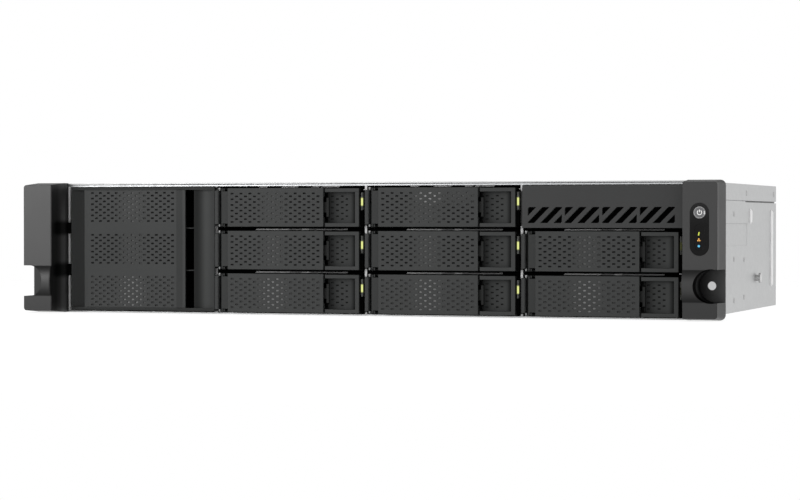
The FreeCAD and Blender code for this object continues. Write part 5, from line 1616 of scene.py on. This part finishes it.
# ------------------------------------------------------------------ ears and panels
@dataclass
class StatusCluster:
    """The button's power mark and the three lit indicators of the right ear."""

    x: float = 228.35
    icon_x: float = 227.9
    button_z: float = 67.95
    face_y: float = 0.02
    mark_y: float = -0.06
    mark_radii: Spot = (1.20, 1.60)
    rim_radii: Spot = (3.15, 3.7)
    glint_radii: Spot = (2.7, 3.65)
    lens_heights: tuple[float, ...] = (54.65, 50.75, 47.0)
    bed_half: float = 0.9
    dot_radius: float = 0.46
    spot_radius: float = 0.75
    lens_y: float = 0.35
    lens_back_y: float = 2.4
    light_rise: float = 0.06

    def build(self) -> None:
        """Makes the mark and the indicators."""
        self._mark()
        self._button_rim()
        self._indicators()
        LOG.info("status cluster built")

    def _ring(self, draft: Draft, radii: Spot, degrees: Spot, count: int, front: float) -> None:
        """Adds part of a flat ring round the button's middle.

        Args:
            draft: the draft to add to.
            radii: its inner and outer radius.
            degrees: where it starts and ends, from +X.
            count: number of its cross lines.
            front: its front face along Y.
        """
        steps = even(math.radians(degrees[0]), math.radians(degrees[1]), count)
        inner, outer = radii
        for a, b in zip(steps, steps[1:]):
            outline = [(self.x + r * math.cos(t), self.button_z + r * math.sin(t))
                       for r, t in ((inner, a), (outer, a), (outer, b), (inner, b))]
            draft.facing(outline, self.face_y, front, False)

    def _mark(self) -> None:
        """An open ring with an upright bar, raised a hair above the button."""
        draft = Draft()
        self._ring(draft, self.mark_radii, (125.0, 415.0), 20, self.mark_y)
        draft.block((self.x - 0.2, self.mark_y, self.button_z + 0.2),
                    (self.x + 0.2, self.face_y, self.button_z + 1.8), False)
        finish = Lamp("power_mark_light", "lamp_plastic", (1.0, 1.0, 1.0), strength=0.95)
        draft.finish("power_mark", finish, "button")

    def _button_rim(self) -> None:
        """The button's polished rim, with a painted highlight arc on its right."""
        rim, arc = Draft(), Draft()
        self._ring(rim, self.rim_radii, (0.0, 360.0), 48, self.mark_y)
        self._ring(arc, self.glint_radii, (-22.0, 16.0), 12, 2 * self.mark_y)
        polished = Sheet("polished_rim", "button_metal", (0.33, 0.33, 0.33), roughness=0.25, metallic=1.0)
        # painted highlight: a near-white arc that stands for a glint on the rim
        glint = Sheet("painted_glint", "button_metal", (0.92, 0.92, 0.92), roughness=0.3, metallic=0.3)
        rim.finish("button_rim", polished, "button")
        arc.finish("button_glint", glint, "button")

    def _indicators(self) -> None:
        """A slanted bar, a triangle of dots and a single dot, each set in a dark block."""
        bed, bar, dots, spot = Draft(), Draft(), Draft(), Draft()
        half = self.bed_half
        for z in self.lens_heights:
            bed.block((self.x - half, self.lens_y, z - half),
                      (self.x + half, self.lens_back_y, z + half), False)
        bed.finish("indicator_bed", PALETTE.window, replaces=["indicator_lenses"])
        x, front, back = self.icon_x, self.lens_y - self.light_rise, self.lens_y + 0.02
        slant = [(x - 0.55, 53.6), (x + 0.2, 53.6), (x + 0.55, 55.75), (x - 0.2, 55.75)]
        bar.facing(slant, back, front, False)
        for dx, dz in ((0.0, 0.55), (-0.55, -0.4), (0.55, -0.4)):
            dots.disc((x + dx, front, 50.85 + dz), self.dot_radius, back - front, "Y", 14, False)
        spot.disc((x, front, self.lens_heights[-1]), self.spot_radius, back - front, "Y", 20, False)
        for draft, name, colour in ((bar, "indicator_bar", (0.62, 0.72, 0.06)),
                                    (dots, "indicator_dots", (0.90, 0.42, 0.08)),
                                    (spot, "indicator_spot", (0.08, 0.52, 0.85))):
            draft.finish(name, Lamp(f"{name}_light", "lamp_plastic", colour))


@dataclass
class RowShades:
    """Near-black strips of painted shade in the gaps over the trays, with bright folded edges in front of the
    shelves that are painted darker in some spans as shade.

    Sizes are in millimetres from the left divider's middle and the ears' front plane.
    """

    columns: tuple[float, ...] = (-107.0, 0.0, 107.0)
    reach: Spot = (1.0, 106.0)
    shade_y: Spot = (27.0, 27.8)
    folds: tuple[Spot, ...] = ((28.0, 52.0), (61.0, 66.0))
    shaded_folds: tuple[Spot, ...] = ((52.0, 61.0), (66.0, 93.5))
    top_folds: tuple[Spot, ...] = ((30.7, 36.3), (47.0, 58.5), (68.4, 73.5), (75.2, 88.0))
    fold_y: float = 23.9
    shade_low: float = 25.0
    fold_low: float = 26.25
    shelf_underside: float = 27.25
    header_underside: float = 27.15
    slot_shade_block: tuple[Point, Point] = ((-139.0, 31.5, 2.0), (-119.5, 32.5, 85.5))

    def build(self) -> None:
        """Makes the shade strips and folds."""
        shade_strips, folds, shaded_folds = Draft(), Draft(), Draft()
        *floors, top_floor = ROW_FLOORS
        for left in self.columns:
            for floor in floors:
                self._shade_strip(shade_strips, left, floor + self.shade_low, floor + self.shelf_underside)
                for draft, spans in ((folds, self.folds), (shaded_folds, self.shaded_folds)):
                    for span in spans:
                        self._fold(draft, left, floor + self.fold_low, floor + self.shelf_underside, span)
            if left < self.columns[-1]:
                top = top_floor + self.header_underside
                self._shade_strip(shade_strips, left, top_floor + self.shade_low, top)
                for span in self.top_folds:
                    self._fold(folds, left, top_floor + self.fold_low, top, span)
        # painted shade: a near-black block behind the cover's through slot
        shade_strips.block(*self.slot_shade_block, False)
        shade_strips.finish("row_shade_strips", PALETTE.shade_black)
        folds.finish("shelf_folds", PALETTE.fold)
        shaded_folds.finish("shelf_folds_shaded", PALETTE.shaded_fold)
        self._seam_painted_light()
        LOG.info("row seals built")

    @staticmethod
    def _seam_painted_light() -> None:
        """A bright strip behind the front half of each side's seam: painted light in the seam."""
        draft = Draft()
        inner, outer = 217.8, 218.06
        for x0, x1 in ((inner, outer), (-outer, -inner)):
            draft.block((x0, 26.0, 75.8), (x1, 186.0, 77.6), False)
        draft.finish("seam_painted_light_strips", PALETTE.divider_zinc)

    def _shade_strip(self, draft: Draft, left: float, z0: float, z1: float) -> None:
        """One strip of painted shade."""
        right = self.reach[1] + (3.0 if left > 0.0 else 0.0)
        draft.block((left + self.reach[0], self.shade_y[0], z0), (left + right, self.shade_y[1], z1), False)

    def _fold(self, draft: Draft, left: float, low: float, high: float, span: Spot) -> None:
        """A thin ledge folded forward under a shelf's tongue.

        Args:
            draft: the draft to add to.
            left: the column's left divider.
            low: the ledge's underside.
            high: where it is fixed.
            span: its ends, from the left divider.
        """
        front, web, back = self.fold_y, self.fold_y + 1.8, self.fold_y + 2.2
        draft.sideways([(front, low), (back, low), (back, high), (web, high), (web, low + 0.28),
                        (front, low + 0.28)], left + span[0], left + span[1], False)


@dataclass
class VentScreen:
    """A near-black pad behind the vent panel's slanted slots: painted shade seen through them."""

    left: float = 111.0
    right: float = 212.3
    y: float = 20.2
    low: float = 60.3
    high: float = 83.4

    def build(self) -> None:
        """Makes the pad."""
        draft = Draft()
        draft.block((self.left, self.y, self.low), (self.right, self.y + 2.0, self.high))
        draft.finish("vent_shade_pad", PALETTE.shade_black, soften=0.3)
        LOG.info("vent screen built")


# ------------------------------------------------------------------ fasteners
@dataclass
class Fasteners:
    """Screw heads on the sides, the lid and the rear; a head is its radius and how far it stands out."""

    half_width: float = 219.3
    rear_y: float = 317.2
    side_head: Spot = (1.9, 0.55)
    rear_head: Spot = (2.6, 0.35)
    side_spots: tuple[Spot, ...] = ((156.5, 67.3), (156.7, 36.5), (192.5, 35.6), (156.9, 8.2), (192.7, 9.5))
    lid_spots: tuple[Spot, ...] = ((201.4, 82.0), (306.8, 82.0))
    rear_spots: tuple[Spot, ...] = ((51.0, 7.6), (123.0, 7.6), (51.0, 79.4), (123.0, 79.4), (133.0, 7.6),
                                    (205.0, 7.6), (133.0, 79.4), (205.0, 79.4), (-212.0, 5.0), (-212.0, 38.0),
                                    (-138.0, 5.0), (-138.0, 38.0))

    def build(self) -> None:
        """Makes every fastener."""
        self._side("side_screws", self.side_spots, "enclosure")
        self._side("lid_screws", self.lid_spots, "lid")
        draft = Draft()
        seat_y = self.rear_y - 0.2
        for x, z in self.rear_spots:
            self._head(draft, lambda a, b, c, x=x, z=z: (x - a, seat_y + c, z + b), *self.rear_head)
        draft.finish("rear_screws", PALETTE.stud)
        LOG.info("fasteners built")

    def _side(self, name: str, spots: Sequence[Spot], body: str) -> None:
        """Heads on both sides.

        Args:
            name: the object's name.
            spots: their places along Y and Z.
            body: the body that they ride on.
        """
        draft, seat_x = Draft(), self.half_width - 0.15
        for y, z in spots:
            for sign in (1.0, -1.0):
                self._head(draft, lambda a, b, c, y=y, z=z, s=sign: (s * (seat_x + c), y + a * s, z + b),
                           *self.side_head)
        draft.finish(name, PALETTE.rivet, body)

    @staticmethod
    def _head(draft: Draft, place: Placer, radius: float, rise: float) -> None:
        """A dished head with a cross recess: a lathed cap with an eight-sided drive pit.

        Args:
            draft: the draft to add to.
            place: turns head coordinates into a point.
            radius: the head's radius.
            rise: how far it stands out.
        """
        profile = ((radius, 0.0), (radius, rise * 0.45), (radius * 0.86, rise * 0.85), (radius * 0.6, rise),
                   (radius * 0.42, rise), (radius * 0.36, rise * 0.35), (0.0, rise * 0.30))
        count = 16
        points: list[Point] = []
        for reach, height in profile[:-1]:
            for k in range(count):
                pinch = 0.55 if reach <= radius * 0.42 and k % 4 in (1, 2, 3) else 1.0
                angle = 2 * math.pi * k / count
                points.append(place(reach * pinch * math.cos(angle), reach * pinch * math.sin(angle), height))
        points.append(place(0.0, 0.0, profile[-1][1]))
        rings = len(profile) - 1
        faces: list[tuple[int, ...]] = [tuple(range(count))]
        for r in range(rings - 1):
            for k in range(count):
                m = (k + 1) % count
                faces.append((r * count + k, r * count + m, (r + 1) * count + m, (r + 1) * count + k))
        last = (rings - 1) * count
        faces += [(last + k, last + (k + 1) % count, len(points) - 1) for k in range(count)]
        draft.shell(points, faces, False)


@dataclass
class EarSkin:
    """The plastic of one ear, with painted shade where it turns away from the light and painted light in a
    few places.

    Attributes:
        side: -1 for the left ear, 1 for the right.
    """

    side: int

    def finish(self) -> Finish:
        """The ear's finish.

        Returns:
            The finish.
        """
        pools = self._boss() + (self._left() if self.side < 0 else self._right())
        name = "left_ear_grain" if self.side < 0 else "right_ear_grain"
        # painted shade: the edges are coloured darker than the face
        return Moulding(name, "bezel_plastic", (0.0255, 0.0255, 0.0255), (0.020, 0.020, 0.020),
                        roughness=0.42, edge_radius=0.0006, pools=tuple(pools))

    def _at(self, x: float, y: float, z: float) -> Point:
        """A place from the ears' front plane, in the solids' frame."""
        return SITE.point(self.side * x, y, z)

    def _boss(self) -> list[Pool]:
        """Painted shade on the swell's upper and lower flanks."""
        return [Pool(self._at(224.0, -3.2, z), (9.5, 3.15, 9.0), (0.2, 0.3, 8.0), 0.40)
                for z in (33.0, 10.8)]

    def _left(self) -> list[Pool]:
        """Painted shade on the inner side and where the cover's clips shade it, painted light on part of that
        side, and a front painted darker low down and lighter higher up.

        Returns:
            The pools.
        """
        pools = [Pool(self._at(218.0, 2.0, 44.0), (2.0, 12.0, 46.0), (1.4, 9.0, 1.0), 0.36),
                 Pool(self._at(217.5, 16.0, 36.0), (1.6, 6.0, 46.0), (0.5, 5.0, 16.0), 2.2),
                 Pool(self._at(230.0, 2.0, 0.0), (14.0, 5.0, 40.0), (0.5, 1.0, 40.0), 0.76),
                 Pool(self._at(217.5, 23.0, 44.0), (2.0, 2.4, 46.0), (0.5, 0.8, 1.0), 0.25),
                 Pool(self._at(230.0, 2.0, 92.0), (14.0, 5.0, 92.0), (0.5, 1.0, 92.0), 1.22)]
        return pools + [Pool(self._at(217.8, 13.0, z), (2.2, 16.0, 6.8), (1.4, 10.0, 4.0), 0.16)
                        for z in (29.25, 57.8)]

    def _right(self) -> list[Pool]:
        """Painted shade in the screw pocket, darkest on its left, on the outer side, and on the front low
        down.

        Returns:
            The pools.
        """
        return [Pool(self._at(235.4, 10.0, 21.9), (10.95, 500.0, 10.95), (1.0, 1.0, 1.0), 0.16, True),
                Pool(self._at(235.4, -1.5, 21.9), (11.0, 30.0, 11.0), (1.0, 1.0, 1.0), 0.04, True),
                Pool(self._at(241.0, 10.0, 21.9), (5.6, 14.0, 10.3), (0.2, 0.2, 0.2), 0.5),
                Pool(self._at(241.2, 10.0, 44.0), (1.9, 14.0, 50.0), (0.8, 0.5, 0.5), 0.44),
                Pool(self._at(228.0, -1.0, 0.0), (14.0, 5.0, 40.0), (0.5, 1.0, 36.0), 0.76)]


# ------------------------------------------------------------------ carried-over solids
@dataclass
class Solids:
    """The solids that keep their own shape and only get a finish."""

    finishes: dict[str, Finish] = field(default_factory=lambda: {
        "chassis_base": PALETTE.base_zinc, "top_cover": PALETTE.zinc, "rear_panel": PALETTE.zinc,
        "bay_dividers": PALETTE.divider_zinc, "bay_headers": PALETTE.inner_zinc,
        "bay_shelves": PALETTE.shade_black, "rail_studs": PALETTE.stud, "left_ear": EarSkin(-1).finish(),
        "right_ear": EarSkin(1).finish(), "rack_flanges": PALETTE.flange, "status_window": PALETTE.window,
        "power_button": TurnedMetal("turned_button", "button_metal", (0.16, 0.16, 0.165), (228.35, 67.95)),
        "vent_panel": PALETTE.vent, "backplane": PALETTE.board, "drive_connectors": PALETTE.socket,
        "mainboard": PALETTE.board, "cpu_heatsink": PALETTE.fin, "io_ports": PALETTE.port,
        "expansion_brackets": PALETTE.port, "fan_frames": PALETTE.fan, "power_supply": PALETTE.inner_zinc,
        "power_inlet": PALETTE.socket, "psu_fan_rotor": PALETTE.fan, "fan_rotor_left": PALETTE.fan,
        "fan_rotor_right": PALETTE.fan})

    def dress(self) -> None:
        """Gives every shown solid its finish."""
        for name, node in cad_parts.items():
            finish = self.finishes.get(name)
            if finish is None:
                finish = PALETTE.latch if name.endswith("latch") else PALETTE.bezel
            node.data.materials.clear()
            node.data.materials.append(finish.material())
        LOG.info("%d solids dressed", len(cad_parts))


# ------------------------------------------------------------------ studio
@dataclass
class Studio:
    """Floor, backdrop, lamps and camera, in metres, degrees and watts.

    Attributes:
        ambient: the backdrop's share in lighting the object.
        zenith: how bright the backdrop is overhead, against 1 at the horizon.
        lamps: each lamp's name, place, aim, size and power.
        camera_place: where the camera stands.
        camera_yaw: its turn about the upright, from looking along +Y.
        camera_pitch: its tilt, down where negative.
        lens: its focal length in millimetres.
    """

    ambient: float = 0.52
    zenith: float = 0.45
    lamps: tuple[tuple[str, Point, Point, float, float], ...] = (
        ("overhead_soft", (0.1, -0.25, 1.25), (0.0, 0.0, 0.0), 1.5, 4.0),
        ("front_left_soft", (-0.95, -1.45, 0.45), (-0.15, -0.15, 0.05), 0.8, 9.0),
        ("front_right_soft", (0.85, -1.55, 0.35), (0.0, -0.15, 0.04), 0.6, 2.0),
        ("right_soft", (1.45, 0.15, 0.45), (0.2, 0.05, 0.05), 0.9, 2.5))
    camera_place: Point = (0.54629, -1.66519, 0.06307)
    camera_yaw: float = 18.838
    camera_pitch: float = -0.691
    lens: float = 110.80

    def build(self) -> None:
        """Sets the whole studio up."""
        self._world()
        self._floor()
        for row in self.lamps:
            self._lamp(*row)
        self._camera()
        bpy.context.scene.view_settings.view_transform = "Standard"
        LOG.info("studio built")

    def _world(self) -> None:
        """White backdrop for the camera and reflections, and a plain level of ambient light."""
        world = bpy.data.worlds.new("studio_world")
        bpy.context.scene.world = world
        world.use_nodes = True
        recipe = Recipe(world.node_tree)
        shader = world.node_tree.nodes["Background"]
        rays = recipe.node("ShaderNodeLightPath")
        mirrored = recipe.mirrored(rays)
        height = recipe.parts(recipe.node("ShaderNodeTexCoord").outputs["Generated"]).outputs["Z"]
        falloff = recipe.span(height, 0.10, 0.75, 1.0, self.zenith)
        level = recipe.math("MULTIPLY_ADD", mirrored, 1.0 - self.ambient, self.ambient)
        lit = recipe.math("MULTIPLY", level, falloff)
        strength = recipe.math("MAXIMUM", lit, rays.outputs["Is Camera Ray"])
        recipe.fill(shader, Color=(1.0, 1.0, 1.0, 1.0), Strength=strength)

    def _floor(self) -> None:
        """A round pale floor under the object."""
        bm = bmesh.new()
        bmesh.ops.create_circle(bm, cap_ends=True, segments=96, radius=2.0)
        mesh = bpy.data.meshes.new("studio_floor")
        bm.to_mesh(mesh)
        bm.free()
        mesh.materials.append(Ground("pale_floor", "bare_steel").material())
        floor = new_object("studio_floor", mesh, (0.0, 0.0, -0.0002))

    @staticmethod
    def _lamp(name: str, place: Point, aim: Point, size: float, power: float) -> None:
        """A square soft lamp.

        Args:
            name: its name.
            place: where it stands, in metres.
            aim: what it points at.
            size: its side in metres.
            power: its power in watts.
        """
        light = bpy.data.lights.new(name, "AREA")
        light.size = size
        light.energy = power
        lamp = new_object(name, light, place)
        lamp.rotation_euler = (Vector(aim) - Vector(place)).to_track_quat("-Z", "Y").to_euler()

    def _camera(self) -> None:
        """The camera, level with the object, in front of it and past its right end."""
        data = bpy.data.cameras.new("camera")
        data.sensor_width = 36.0
        data.lens = self.lens
        data.clip_start, data.clip_end = 0.05, 50.0
        camera = new_object("camera", data, self.camera_place)
        camera.rotation_euler = (math.radians(90.0 + self.camera_pitch), 0.0, math.radians(self.camera_yaw))
        bpy.context.scene.camera = camera


def main() -> None:
    """Builds every sub-assembly in order."""
    logging.basicConfig(level=logging.INFO, format="%(name)s: %(message)s")
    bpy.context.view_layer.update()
    Studio().build()
    Solids().dress()
    for number, look in TRAY_LOOKS.items():
        DriveTray(number, look).build()
    IntakeCover().build()
    StatusCluster().build()
    VentScreen().build()
    RowShades().build()
    Fasteners().build()


if __name__ == "__main__":
    main()
